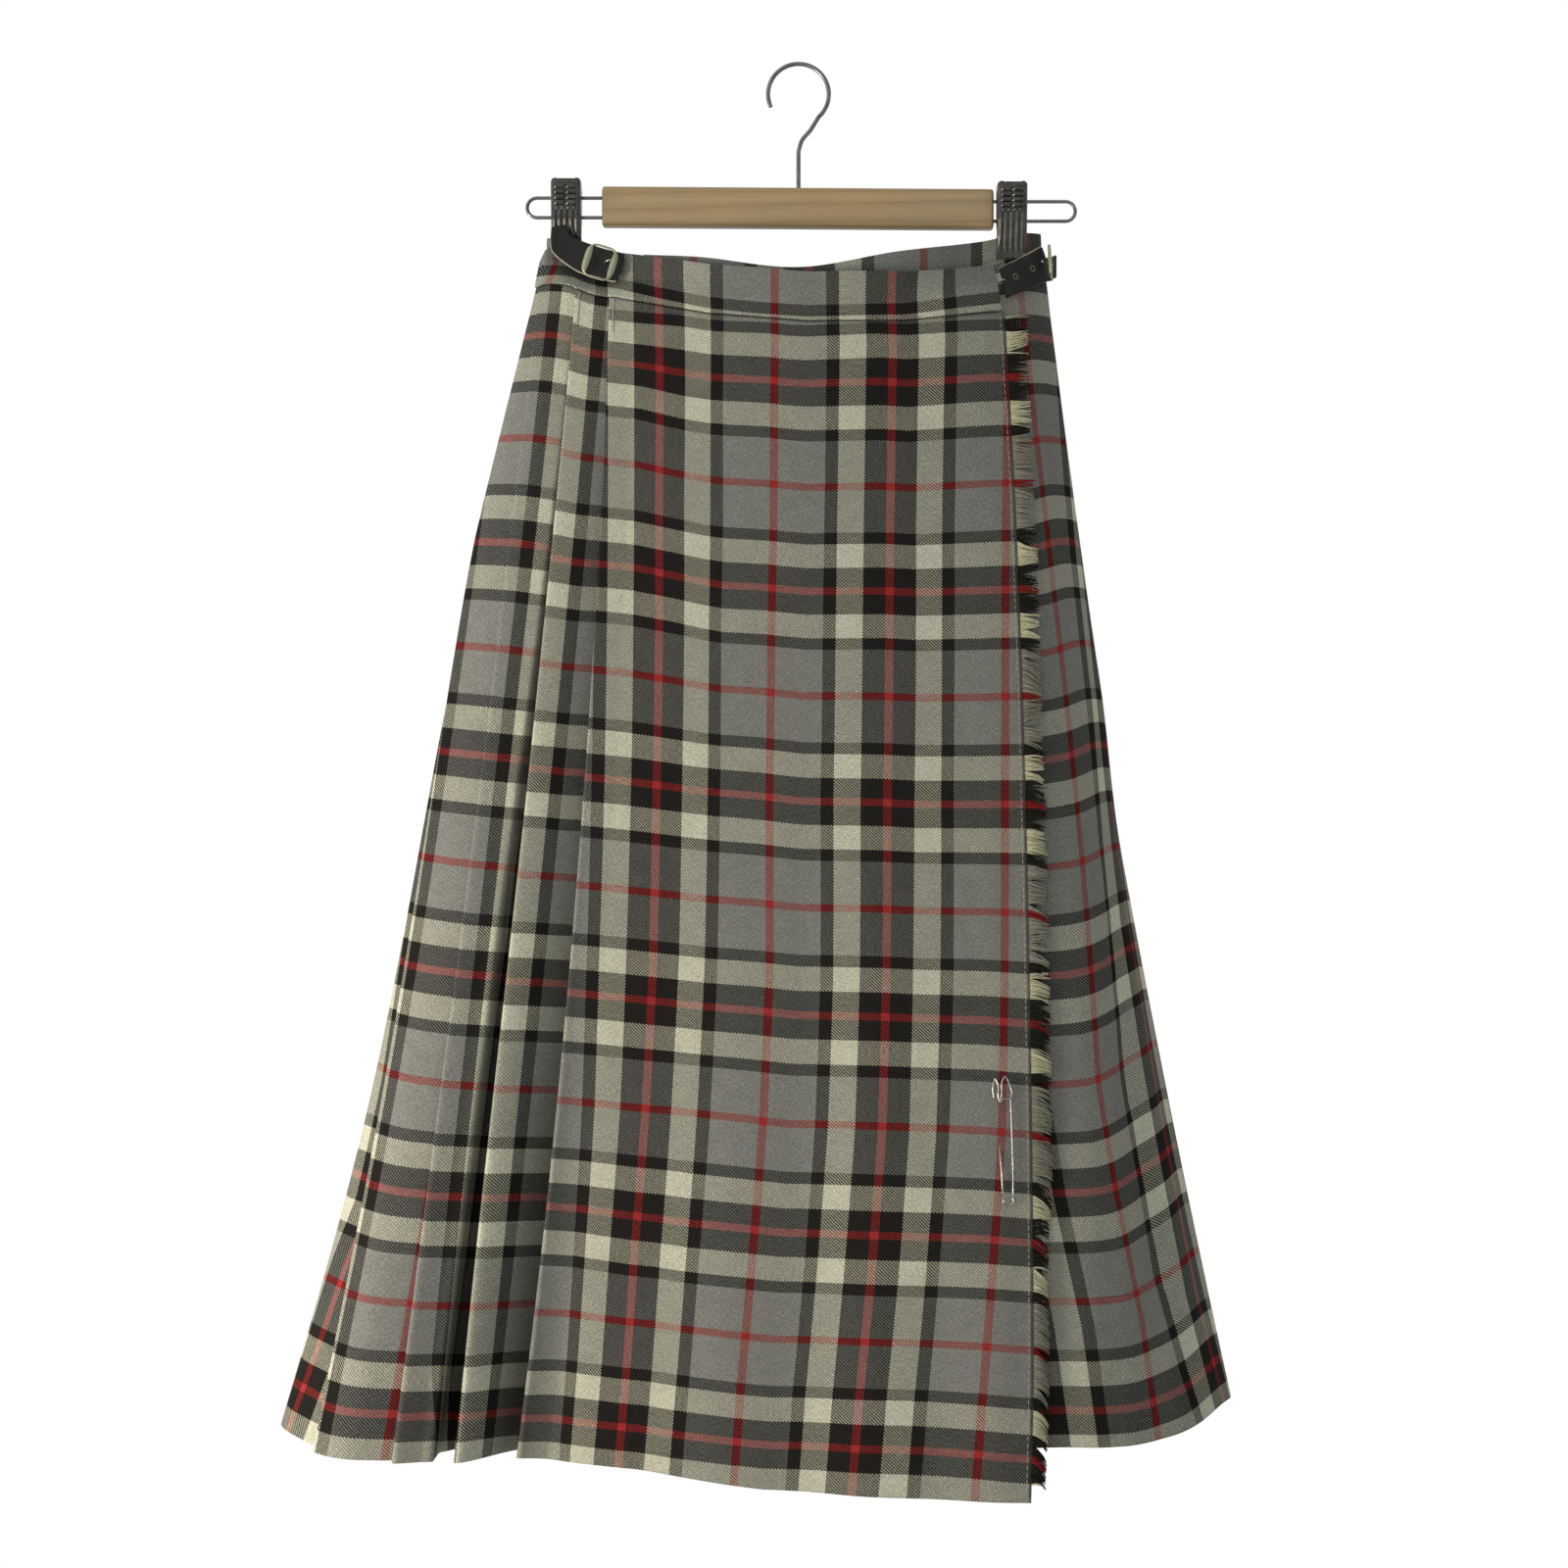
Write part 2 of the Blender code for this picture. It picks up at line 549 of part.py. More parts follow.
def buckle(name, centre, along, up, outward, finish):
    """A plain frame of round wire with softened corners, 20 by 22 mm, and its prong."""
    half_along, half_up, corner, wire = 8.8, 10.0, 3.0, 1.15
    loop = []
    for quarter, (sign_a, sign_u) in enumerate([(1, 1), (-1, 1), (-1, -1), (1, -1)]):
        for angle in np.radians(90 * quarter + np.array([0, 45, 90])):
            loop.append(centre + along * (sign_a * (half_along - corner) + corner * cos(angle))
                        + up * (sign_u * (half_up - corner) + corner * sin(angle)))
    tube(name, loop, wire, finish, closed=True)
    reach = [(-half_along + wire + 1.4, -0.2), (-3.0, 0.3), (2.0, 0.2), (half_along - wire - 1.5, -0.1)]
    tube(name + "_prong", [centre + along * a + outward * o for a, o in reach], 0.8, finish)


def buckle_tabs_and_frames(leather, metal):
    """Each buckle's leather tab shows past the frame on the side away from the strap's free end."""
    tilt = radians(-17)
    along, up = np.array([cos(tilt), 0, sin(tilt)]), np.array([-sin(tilt), 0, cos(tilt)])
    centre = np.array(LEFT_BUCKLE)
    buckle("buckle_left", centre, along, up, np.array([0.0, -1.0, 0.0]), metal)
    rows = [[centre + along * a + up * u + np.array([0, y, 0]) for a, y in ((12.5, 0.3), (15.0, 0.5), (18.5, 1.0))]
            for u in (8.0, -8.0)]
    wall("buckle_left_tab", np.array(rows), TAB_LEATHER, leather)

    buckle("buckle_right", np.array(RIGHT_BUCKLE), np.array([0.0, 1.0, 0.0]), np.array([-0.06, 0.0, 0.998]),
           np.array([1.0, 0.0, 0.0]), metal)
    rows = [[(x, y, z) for x, y in RIGHT_TAB] for z in (-135.5, -152.0)]
    wall("buckle_right_tab", np.array(rows), TAB_LEATHER, leather)


def kilt_pin(finish):
    """A plain blanket pin on the front apron: a cap, a bar, a coil and a leg whose point goes into the
    cloth.  The stretch of the leg inside the cloth is left out, so the wall stays whole."""
    size = KILT_PIN
    ends = (size["bottom"], size["top"])
    cloth = [front_y(size["x"], z, 2 * layer((z - APRON_FALL[-1][1]) / (APRON_FALL[-1][2] - APRON_FALL[-1][1]))
                     + CLOTH / 2) for z in ends]

    def before(x, z, off):
        """A point in front of the cloth by a distance."""
        return (x, np.interp(z, ends, cloth) - off, z)

    bar_x, leg_x = size["x"] + size["width"] / 2 - 2.4, size["x"] - size["width"] / 2 + 1.6
    coil_z = size["bottom"] + 4.5
    coil = [before(size["x"] + 0.3 + 3.4 * cos(a), coil_z + 3.4 * sin(a), 2.6 + 1.3 * k)
            for k, a in enumerate(np.radians([-20, -90, -160]))]
    points = ([before(bar_x, size["top"] - 10.5, 3.0), before(bar_x, coil_z + 6, 2.6)] + coil
              + [before(leg_x, coil_z + 9, 3.0), before(leg_x - 0.6, size["leg_end"], 2.0)])
    tube("kilt_pin", points, size["wire"], finish)
    cap = [before(size["x"] + sx * 5.5, size["top"] + sz, 2.8 - sy * 2.0)
           for sz in (-10.0, 0.0) for sy in (-1, 1) for sx in (-1, 1)]
    faces = [(0, 1, 3, 2), (4, 6, 7, 5), (0, 4, 5, 1), (2, 3, 7, 6), (0, 2, 6, 4), (1, 5, 7, 3)]
    bevel(add_object("kilt_pin_cap", cap, faces, finish), 1.8)


# ---------------------------------------------------------------- the hanger
def clip(side, centre_x, front_grip, back_grip, steel):
    """Two bent steel jaws.  Each is a plate that splays away from the wires, with cheeks that come in beside
    them, and it flattens to a lip where it grips the waistband."""
    half = CLIP["width"] / 2 - CLIP["wall"] / 2
    for face, sign, grip in (("front", -1, front_grip), ("back", 1, back_grip)):
        edge = half if face == "front" else half - CLIP["wall"] - 2 * GAP
        rows = []
        for z, open_by, cheek_y, bent in CLIP_LEVELS:
            y = grip + CLIP["wall"] / 2 + open_by
            cheek = y + (cheek_y - y) * bent
            corner = 1.0 * bent
            inner = 1.5 - 0.5 * bent
            outline = [(edge, cheek), (edge - inner / 3 * (1 - bent), y - corner), (edge - inner, y)]
            rows.append([(centre_x - x, sign * yy, z) for x, yy in outline]
                        + [(centre_x + x, sign * yy, z) for x, yy in outline[::-1]])
        wall("clip_%s_%s" % (side, face), np.array(rows), CLIP["wall"], steel)


def clip_spring(side, centre_x, wire_z, steel):
    """The coil round the wire: a short thick-walled sleeve, turned about X."""
    inner, outer, half, count = WIRE_RADIUS + GAP, 4.4, 6.0, 12
    points = []
    for x, radius in ((-half, inner), (-half, outer), (half, outer), (half, inner)):
        for k in range(count):
            a = 2 * pi * k / count
            points.append((centre_x + x, radius * cos(a), wire_z + radius * sin(a)))
    faces = []
    for band in range(4):
        for k in range(count):
            a, b = band * count + k, band * count + (k + 1) % count
            following = (band + 1) % 4 * count
            faces.append((a, b, following + (k + 1) % count, following + k))
    return add_object("clip_%s_spring" % side, points, faces, steel)


def hanger(wood, wire, steel):
    """The bar, a closed wire loop out of each end, the hook, and a clip on each loop."""
    left, right, depth = BAR["left"], BAR["right"], BAR["depth"] / 2
    corners = [(x, y, z) for x, top in ((left, BAR["top_left"]), (right, BAR["top_right"]))
               for y in (-depth, depth) for z in (top - BAR["height"], top)]
    faces = [(0, 1, 3, 2), (4, 6, 7, 5), (0, 4, 5, 1), (2, 3, 7, 6), (1, 5, 7, 3), (0, 2, 6, 4)]
    bevel(add_object("hanger_bar", corners, faces, wood), 3.0)

    for side, bar_end, reach, upper in (("left", left, -196.5, -95.6), ("right", right, 200.5, -98.2)):
        outward = -1 if side == "left" else 1
        lower = upper - 14.2
        radius = (upper - lower) / 2
        centre = (reach - outward * radius, 0.0, (upper + lower) / 2)
        bend = arc(centre, radius, 90, 270, 9) if side == "left" else arc(centre, radius, 90, -90, 9)
        start = bar_end + outward * GAP
        tube("wire_loop_" + side, [(start, 0, upper), *bend, (start, 0, lower)], WIRE_RADIUS, wire)

    bar_top = (BAR["top_left"] + BAR["top_right"]) / 2
    centre = (0.0, 0.0, HOOK_RADIUS - HOOK_BEND)
    shaft = [(0, 0, bar_top + GAP), (0, 0, -62), (2.5, 0, -54), (9, 0, -47)]
    over = arc(centre, HOOK_BEND, -45, 205, 16)
    tube("hanger_hook", shaft + over, HOOK_RADIUS, wire)

    clip("left", -167.2, 5.2, 5.0, steel)
    clip("right", 153.6, 4.8, 6.0, steel)
    clip_spring("left", -167.2, -109.8, steel)
    clip_spring("right", 153.6, -112.4, steel)


def build():
    clear_scene()
    wool = material("wool tartan", (0.21, 0.22, 0.20), 0.9)
    leather = material("black strap leather", (0.02, 0.02, 0.022), 0.5)
    chrome = material("buckle chrome", (0.75, 0.74, 0.70), 0.25, 1.0)
    steel = material("dark polished steel", (0.16, 0.16, 0.17), 0.3, 1.0)
    wood = material("pale beech", (0.50, 0.36, 0.20), 0.6)

    front_apron(wool)
    under_apron(wool)
    pleats("pleats_left", 1, 4, wool)
    pleats("pleats_back_left", 5, 8, wool)
    pleats("pleats_back_right", 9, 13, wool)
    pleats("pleats_right", 14, PLEATS, wool)
    waistband(wool)
    fringe(wool)

    left_strap(leather)
    right_strap(leather)
    buckle_tabs_and_frames(leather, chrome)
    kilt_pin(chrome)
    hanger(wood, steel, steel)


build()
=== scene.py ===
# %% [markdown]
# # A kilted wrap skirt on its hanger
#
# The real thing is one long piece of wool tartan, sewn into knife pleats from the left front round the back
# to the right, with two plain ends that lap over each other in front.  A waistband holds the pleats, two
# leather straps close it, and a clip hanger holds it up by the waistband.
#
# Everything here is worked out from one idea: the cloth hangs as a ring.  A place on it is a height (0 at
# the waist seam, 1 at the hem), a distance s along the ring and a lift outside it, both in millimetres.
# Each piece of cloth is a path of (s, lift) pairs carried down the heights, so the folds of every layer
# stay parallel.  Cloth could also be draped by a simulation, but pressed pleats hang where they were
# pressed, and a path that is worked out keeps every stripe of the tartan where it belongs.

# %% The frame
from math import cos, pi, radians, sin

import bmesh
import bpy
import numpy as np
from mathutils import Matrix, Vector


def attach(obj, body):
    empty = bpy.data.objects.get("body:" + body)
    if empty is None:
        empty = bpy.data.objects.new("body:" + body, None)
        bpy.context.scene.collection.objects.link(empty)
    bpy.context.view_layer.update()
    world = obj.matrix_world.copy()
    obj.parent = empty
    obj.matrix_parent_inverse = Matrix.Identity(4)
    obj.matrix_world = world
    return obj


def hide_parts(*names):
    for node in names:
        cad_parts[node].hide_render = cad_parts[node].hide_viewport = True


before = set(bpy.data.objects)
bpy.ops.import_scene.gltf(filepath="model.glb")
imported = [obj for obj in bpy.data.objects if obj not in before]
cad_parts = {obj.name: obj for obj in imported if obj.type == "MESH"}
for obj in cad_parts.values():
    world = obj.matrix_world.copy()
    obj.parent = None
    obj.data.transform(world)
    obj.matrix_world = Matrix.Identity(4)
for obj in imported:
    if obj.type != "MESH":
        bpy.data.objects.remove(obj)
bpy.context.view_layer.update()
MM = 0.001
rng = np.random.default_rng(11)     # the loose yarns of the fringe are drawn from it, the same each run

# %% [markdown]
# ## The ring
#
# In plan the waist is a flat lens between two clips, and the hem a wide oval.  A cubic curve through a few
# stations gives each height its line, the same line that the solids are built on.  We work it out once for
# many heights and read it back as a table, because a table can be asked for whole arrays of places at once.

# %% Stations of the ring
RING = [
    # x and y, mm:  top          seam          middle        hem          z seam  z hem
    ("front centre",     (0, -36),    (0, -36),     (-8, -60),    (-22, -90),  -188,   -978),
    ("front left",       (-70, -32),  (-70, -32),   (-85, -57),   (-110, -82), -180,   -981),
    ("under the fold",   (-122, -15), (-122, -26),  (-148, -51),  (-186, -70), -174,   -984),
    ("left side front",  (-152, -2.2), (-150, -20),  (-200, -47),  (-252, -86), -167,   -986),
    ("left clip front",  (-169, -1),  (-170, -15),  (-238, -36),  (-319, -76),  -162,   -984),
    ("left edge",        (-182, 0),   (-187, 0),    (-268, -4),   (-354, -27),  -161,   -977),
    ("left clip back",   (-169, 1),   (-170, 16),   (-256, 28),   (-346, 42),   -162,   -985),
    ("left side back",   (-152, 2.2), (-150, 22),   (-218, 54),   (-290, 92),  -166,   -990),
    ("back left",        (-85, 30),   (-85, 32),    (-125, 70),   (-190, 116), -182,   -998),
    ("back centre",      (0, 34),     (0, 36),      (-12, 74),    (-22, 122),  -184,   -998),
    ("back right",       (80, 28),    (82, 30),     (115, 68),    (150, 114),  -170,   -986),
    ("right side back",  (138, 3),    (140, 22),    (196, 60),    (246, 98),    -161,   -975),
    ("right clip back",  (155, 1.6),  (159, 15),    (222, 42),    (291, 54),    -158,   -970),
    ("right edge",       (173, 0),    (176, 0),     (232, 18),    (304.5, -14), -157,   -960.5),
    ("right clip front", (155, -1.6), (159, -14),   (219, -24),   (293, -52),   -157,   -959.5),
    ("right side front", (138, -3),   (140, -20),   (193, -52),   (250, -84),  -162,   -972),
    ("front right",      (70, -32),   (70, -32),    (100, -62),   (168, -102), -176,   -974),
]
STEPS = 24                    # points worked out between two stations
BAND_HEIGHT = 35.0            # the waistband's width
PINCHED = 0.47                # the clips press it flat down to this share of it below its top
SWAY = 0.022                  # the left side swells below the waist and draws in above the hem
print("stations round the ring:", len(RING), "with", STEPS, "points to each")


# %% Curves round the ring
def blend(seam, middle, hem, height):
    """The parabola through three values given at heights 0, a half and 1."""
    return (seam * (1 - height) * (1 - 2 * height) + middle * 4 * height * (1 - height)
            + hem * height * (2 * height - 1))


def smooth_loop(points):
    """A closed curve through the stations: each span is a cubic whose end slopes weigh the two chords that
    meet there by the square roots of their lengths."""
    following, before = np.roll(points, -1, axis=0), np.roll(points, 1, axis=0)
    knot = np.sqrt(np.linalg.norm((following - points)[:, :2], axis=1))[:, None]
    knot_before = np.roll(knot, 1, axis=0)
    slope = ((points - before) / knot_before * knot + (following - points) / knot * knot_before)
    slope /= knot + knot_before
    share = np.linspace(0, 1, STEPS, endpoint=False)[None, :, None]
    start, end = points[:, None, :], following[:, None, :]
    slope_start, slope_end = (slope * knot)[:, None, :], (np.roll(slope, -1, axis=0) * knot)[:, None, :]
    curve = (start * (2 * share**3 - 3 * share**2 + 1) + slope_start * (share**3 - 2 * share**2 + share)
             + end * (3 * share**2 - 2 * share**3) + slope_end * (share**3 - share**2))
    curve = curve.reshape(-1, points.shape[1])
    return np.vstack([curve, curve[:1]])


def ring_row(height):
    """x, y, outward x and y, and s of every thread at one height: the stations' parabolas give the plan,
    the outward direction is the line's own direction turned by a right angle, and s adds up its chords."""
    top, seam, middle, hem = (np.array([row[column] for row in RING], float) for column in (1, 2, 3, 4))
    if height >= 0:
        plan = blend(seam, middle, hem, height)
        plan[:, 0] *= np.where(plan[:, 0] < 0, 1 + SWAY * sin(2 * pi * height), 1)
    else:
        plan = seam + (top - seam) * min(-height / PINCHED, 1.0)
    line = smooth_loop(plan)
    s = np.concatenate([[0], np.cumsum(np.linalg.norm(np.diff(line, axis=0), axis=1))])
    along = np.gradient(line, s, axis=0)
    along[0] = along[-1] = line[1] - line[-2]
    along /= np.linalg.norm(along, axis=1)[:, None]
    return np.stack([line[:, 0], line[:, 1], -along[:, 1], along[:, 0], s])


print("half-way down, the left side is", round(blend(-187, -268, -354, 0.5)), "mm from the middle")

# %% The ring as a table
BAND_ROWS, SKIRT_ROWS, PAST_HEM = 40, 100, 6          # rows above the seam, down to the hem, and past it
LEVELS = np.concatenate([np.linspace(-1, 0, BAND_ROWS + 1)[:-1],
                         np.linspace(0, 1 + PAST_HEM / SKIRT_ROWS, SKIRT_ROWS + PAST_HEM + 1)])
ROWS = np.stack([ring_row(level) for level in LEVELS])          # level, (x y outx outy s), thread
ALONG = 4                                                       # the column of s
THREADS = ROWS.shape[2] - 1
Z_SEAM, Z_HEM = smooth_loop(np.array([[*row[2], row[5], row[6]] for row in RING], float))[:, 2:].T
STATION = {row[0]: number * STEPS for number, row in enumerate(RING)}
print("ring length at the seam and the hem, mm:",
      ROWS[BAND_ROWS, ALONG, -1].round(), ROWS[BAND_ROWS + SKIRT_ROWS, ALONG, -1].round())


def table(column, height, thread):
    """A column of the table at heights and threads, read between its four nearest entries.  Past a whole
    turn of the ring, s goes on counting."""
    level = np.interp(height, LEVELS, np.arange(len(LEVELS)))
    turn = np.floor(thread / THREADS)
    around = thread - turn * THREADS
    i, j = np.minimum(level.astype(int), len(LEVELS) - 2), np.minimum(around.astype(int), THREADS - 1)
    di, dj = level - i, around - j
    page = ROWS[:, column]
    value = ((page[i, j] * (1 - dj) + page[i, j + 1] * dj) * (1 - di)
             + (page[i + 1, j] * (1 - dj) + page[i + 1, j + 1] * dj) * di)
    length = page[i, -1] * (1 - di) + page[i + 1, -1] * di
    return value + turn * length * (column == ALONG)


def thread_at(height, s):
    """The threads that cross one height at distances s."""
    level = float(np.interp(height, LEVELS, np.arange(len(LEVELS))))
    i = min(int(level), len(LEVELS) - 2)
    row = ROWS[i, ALONG] * (1 - level + i) + ROWS[i + 1, ALONG] * (level - i)
    turn = np.floor(np.asarray(s, float) / row[-1])
    return np.interp(s - turn * row[-1], row, np.arange(THREADS + 1)) + turn * THREADS


def station_s(name, height):
    """s of a station at a height."""
    return float(table(ALONG, np.array([height]), np.array([float(STATION[name])]))[0])


def ring_length(height):
    """s after one whole turn."""
    return float(table(ALONG, np.array([height]), np.array([float(THREADS)]))[0])


# %% [markdown]
# A place on the cloth then needs a height, a thread and a lift.  The front apron hangs lower than the
# pleats behind it, so its points are asked for by their own z instead: we find the height at which the same
# thread of the ring passes that z.

# %% Places on the ring
def heights_of(thread):
    """z of the waist seam and of the hem where a thread crosses them."""
    around = np.mod(thread, THREADS)
    return np.interp(around, np.arange(THREADS + 1), Z_SEAM), np.interp(around, np.arange(THREADS + 1), Z_HEM)


def on_ring(height, thread, lift):
    """x, y and z: the ring's line, moved outwards by the lift; z falls evenly from the seam to the hem."""
    height, thread, lift = np.broadcast_arrays(height, thread, lift)
    x, y, out_x, out_y = (table(column, height, thread) for column in range(4))
    size = np.hypot(out_x, out_y)
    seam, hem = heights_of(thread)
    z = np.where(height >= 0, seam + (hem - seam) * height, seam - BAND_HEIGHT * height)
    return np.stack([x + lift * out_x / size, y + lift * out_y / size, z], axis=-1)


def at_z(thread, z, lift):
    """The place a lift outside the ring where a thread passes a z."""
    seam, hem = heights_of(thread)
    height = np.where(z < seam, (seam - z) / (seam - hem), np.maximum((seam - z) / BAND_HEIGHT, -1.0))
    point = on_ring(height, thread, lift)
    point[..., 2] = z
    return point


print("the left edge hangs from z", round(float(Z_SEAM[STATION["left edge"]])), "to",
      round(float(Z_HEM[STATION["left edge"]])))

# %% [markdown]
# A kilt maker chalks the cloth before folding it.  Our chalk marks are the places of the folds along the
# ring, at the seam, half-way down and at the hem; between them each runs along a parabola.

# %% Chalk marks on the ring
MARKS = {                     # s of each fold at the seam, half-way and the hem
    "fringed edge": (-144.5, -164, -172.7),
    "apron fold": (133.5, 145, 174.5),
    "fold 1": (158.6, 186.3, 218.6),
    "fold 2": (187, 220.5, 258),
    "fold 3": (214, 263, 312),
}
PLEATS = 17                   # knife pleats, from the apron's left fold round to the right side
UNDERFOLD = 0.5               # cloth turned under, as a share of a pleat's face
LAYER_WAIST, LAYER_HEM = 1.6, 4.5                   # mm from one layer of a pleat to the next
UNDER_FOLD_BACK = (12, 24, 84)                      # the under apron's fold, behind the ring's right edge
BOX_PLEAT = (12, 18, 26)                            # open floor between that fold and the last knife pleat
HIDDEN_END = 10                                     # the under apron's inner end stops short of the pleats
APRON_FALL = [                # share from the fold to the fringe, z of its seam, z of its hem
    (0.00, -173, -986), (0.25, -186, -992), (0.50, -192, -1003), (0.75, -191, -1006), (1.00, -182, -1008)]


def layer(height):
    """The distance between two layers of a pleat grows evenly from the waist to the hem."""
    return LAYER_WAIST + (LAYER_HEM - LAYER_WAIST) * np.maximum(height, 0.0)


def mark(name, height):
    """s of a chalk mark at a height."""
    return blend(*MARKS[name], np.maximum(height, 0.0))


def under_fold(height):
    """s of the under apron's own fold."""
    return station_s("right edge", height) - blend(*UNDER_FOLD_BACK, max(height, 0.0))


def fold_line(height, turn):
    """s at a count of pleats: 0 is the apron's fold, 17 the last ridge; fractions lie between."""
    visible = [mark(name, height) for name in ("apron fold", "fold 1", "fold 2", "fold 3")]
    last = under_fold(height) - blend(*BOX_PLEAT, max(height, 0.0))
    before = 2 * visible[0] - visible[1]
    ridges = np.concatenate([[before], visible, np.linspace(visible[-1], last, PLEATS - 2)[1:]])
    return np.interp(turn, np.arange(-1, PLEATS + 1), ridges)


def apron_share(height, s):
    """How far across the front apron a place is: 0 at its fold, 1 at its fringed edge."""
    left, right = mark("apron fold", height), mark("fringed edge", height)
    return (left - s) / (left - right)


def apron_place(height, s, lift):
    """Points on the front apron at one height; left of its fold they pass smoothly to the pleats' z."""
    share, z_seam, z_hem = np.array(APRON_FALL, float).T
    across = apron_share(height, s)
    seam, hem = np.interp(across, share, z_seam), np.interp(across, share, z_hem)
    low = seam + (hem - seam) * height if height >= 0 else seam - BAND_HEIGHT * height
    thread = thread_at(height, s)
    own = on_ring(height, thread, 0 * s)[..., 2]
    past = np.clip((s - mark("apron fold", height)) / 30.0, 0, 1)
    return at_z(thread, own * past + low * (1 - past), lift)


print("pleat ridges at the hem, mm:", fold_line(1.0, np.arange(PLEATS + 1)).round().tolist())

# %% [markdown]
# ## Hanging folds
#
# Wool this heavy hangs almost flat, but never quite: below the hips it swings into long shallow troughs and
# ridges.  Noise would give bumps without a direction; a hanging fold always runs down.  So they are placed
# one by one, each with its own side, width, depth and length, and they go all the way round.  Every layer
# takes the same lift at the same place, so the layers still never touch.

# %% Troughs and ridges
SWINGS = [
    # s seam, s hem, half width seam, hem, depth mm, from height, full at
    (118, 132, 14, 26, 1.6, 0.10, 0.75), (74, 84, 20, 30, -1.7, 0.15, 0.9),
    (36, 30, 18, 34, 1.5, 0.30, 1.0), (-14, -22, 22, 36, -1.8, 0.12, 0.85),
    (-58, -66, 16, 30, 1.8, 0.22, 1.0), (-92, -112, 14, 26, -1.5, 0.30, 0.9),
    (-128, -150, 12, 22, 1.1, 0.18, 0.8), (-176, -224, 12, 22, 1.6, 0.35, 1.0),
    (-196, -268, 12, 24, -1.8, 0.3, 1.0), (176, 244, 12, 24, -1.6, 0.25, 0.95),
    (196, 292, 12, 22, 1.4, 0.3, 1.0), (212, 356, 10, 26, 1.8, 0.35, 1.0),
    (262, 430, 18, 34, -2.4, 0.2, 0.9), (306, 500, 20, 38, 2.6, 0.25, 1.0),
    (350, 566, 18, 34, -2.2, 0.3, 0.8), (398, 636, 22, 40, 2.8, 0.2, 1.0),
    (446, 706, 20, 34, -2.4, 0.35, 1.0), (500, 790, 18, 36, 2.2, 0.3, 0.9),
    (546, 868, 16, 30, -1.6, 0.25, 1.0), (-212, -338, 26, 46, -5.0, 0.36, 0.52)]


def swing(height, s):
    """The sum of cosine bells across s, each growing smoothly from where it starts to where it is full."""
    height = max(height, 0.0)
    length = ring_length(height)
    total = np.zeros_like(s)
    for seam, hem, wide_seam, wide_hem, depth, start, full in SWINGS:
        grown = np.clip((height - start) / (full - start), 0, 1)
        away = np.mod(s - (seam + (hem - seam) * height) + length / 2, length) - length / 2
        wide = wide_seam + (wide_hem - wide_seam) * height
        total += (depth * grown * grown * (3 - 2 * grown)
                  * (0.5 + 0.5 * np.cos(np.clip(away / wide, -1, 1) * pi)))
    return total


print("places where the cloth swings out or in:", len(SWINGS))

# %% [markdown]
# ## The tartan
#
# Tartan is drawn by the loom, so we let the material weave it.  The UV map of every piece of cloth counts
# threads: U the warp threads across, V the weft threads down.  One list of stripes colours both, and a 2/2
# twill picks which of the two shows: over two, under two, one step along at each row.  That gives solid
# blocks where equal colours cross and fine slanting lines where they don't.  The list starts in the middle
# of one red line, so thread 0 is that middle, and half a repeat on is the middle of the other.

# %% Stripes of the sett
SETT = [("red", 4.5), ("grey", 56), ("black", 15), ("cream", 31), ("black", 26), ("red", 9), ("black", 26),
        ("cream", 31), ("black", 15), ("grey", 56), ("red", 4.5)]
REPEAT = sum(count for _, count in SETT)
HALF = REPEAT / 2             # from the middle of one red line to the middle of the next
WARP, WEFT = 0.600, 0.543     # millimetres from one thread to the next, across and down
YARN = {"red": (0.24, 0.022, 0.022), "grey": (0.155, 0.157, 0.141), "black": (0.0125, 0.0115, 0.0105),
        "cream": (0.385, 0.385, 0.30)}
print("threads in a repeat:", REPEAT, "=", round(REPEAT * WARP, 1), "mm across,",
      round(REPEAT * WEFT, 1), "down")


# %% [markdown]
# Every finish below is a tree of shader nodes.  A few short helpers keep the trees readable: each adds one
# node, sets or links its inputs, and hands back the socket that the next node takes.

# %% Small helpers for node trees
class Nodes:
    """A node tree with short ways to add nodes."""

    def __init__(self, tree):
        self.tree = tree

    def node(self, kind, inputs=(), **settings):
        """Adds a node: settings are its properties, inputs the values or links of its sockets."""
        made = self.tree.nodes.new(kind)
        for label, value in settings.items():
            setattr(made, label, value)
        for socket, value in dict(inputs).items():
            if isinstance(value, bpy.types.NodeSocket):
                self.tree.links.new(value, made.inputs[socket])
            else:
                made.inputs[socket].default_value = value
        return made

    def math(self, operation, a, b=0.0, c=0.0):
        """One step of arithmetic."""
        return self.node("ShaderNodeMath", {0: a, 1: b, 2: c}, operation=operation).outputs[0]

    def mix(self, share, a, b, blend_type="MIX"):
        """Goes from colour a to colour b by a share, or lays b over a in another way."""
        return self.node("ShaderNodeMix", {"Factor": share, 6: a, 7: b}, data_type="RGBA",
                         blend_type=blend_type).outputs[2]

    def noise(self, where, scale, detail=2.0, roughness=0.5, stretch=(1, 1, 1)):
        """Soft noise at a place, which may be stretched first."""
        moved = self.node("ShaderNodeMapping", {"Vector": where, "Scale": stretch}).outputs[0]
        return self.node("ShaderNodeTexNoise", {"Vector": moved, "Scale": scale, "Detail": detail,
                                                "Roughness": roughness}).outputs["Fac"]

    def ramp(self, share, stops, interpolation="LINEAR"):
        """Turns a share into a colour by its (place, colour) stops."""
        made = self.node("ShaderNodeValToRGB", {0: share})
        made.color_ramp.interpolation = interpolation
        while len(made.color_ramp.elements) < len(stops):
            made.color_ramp.elements.new(1.0)
        for element, (place, colour) in zip(made.color_ramp.elements, stops):
            element.position = place
            element.color = (*colour, 1.0)
        return made.outputs[0]


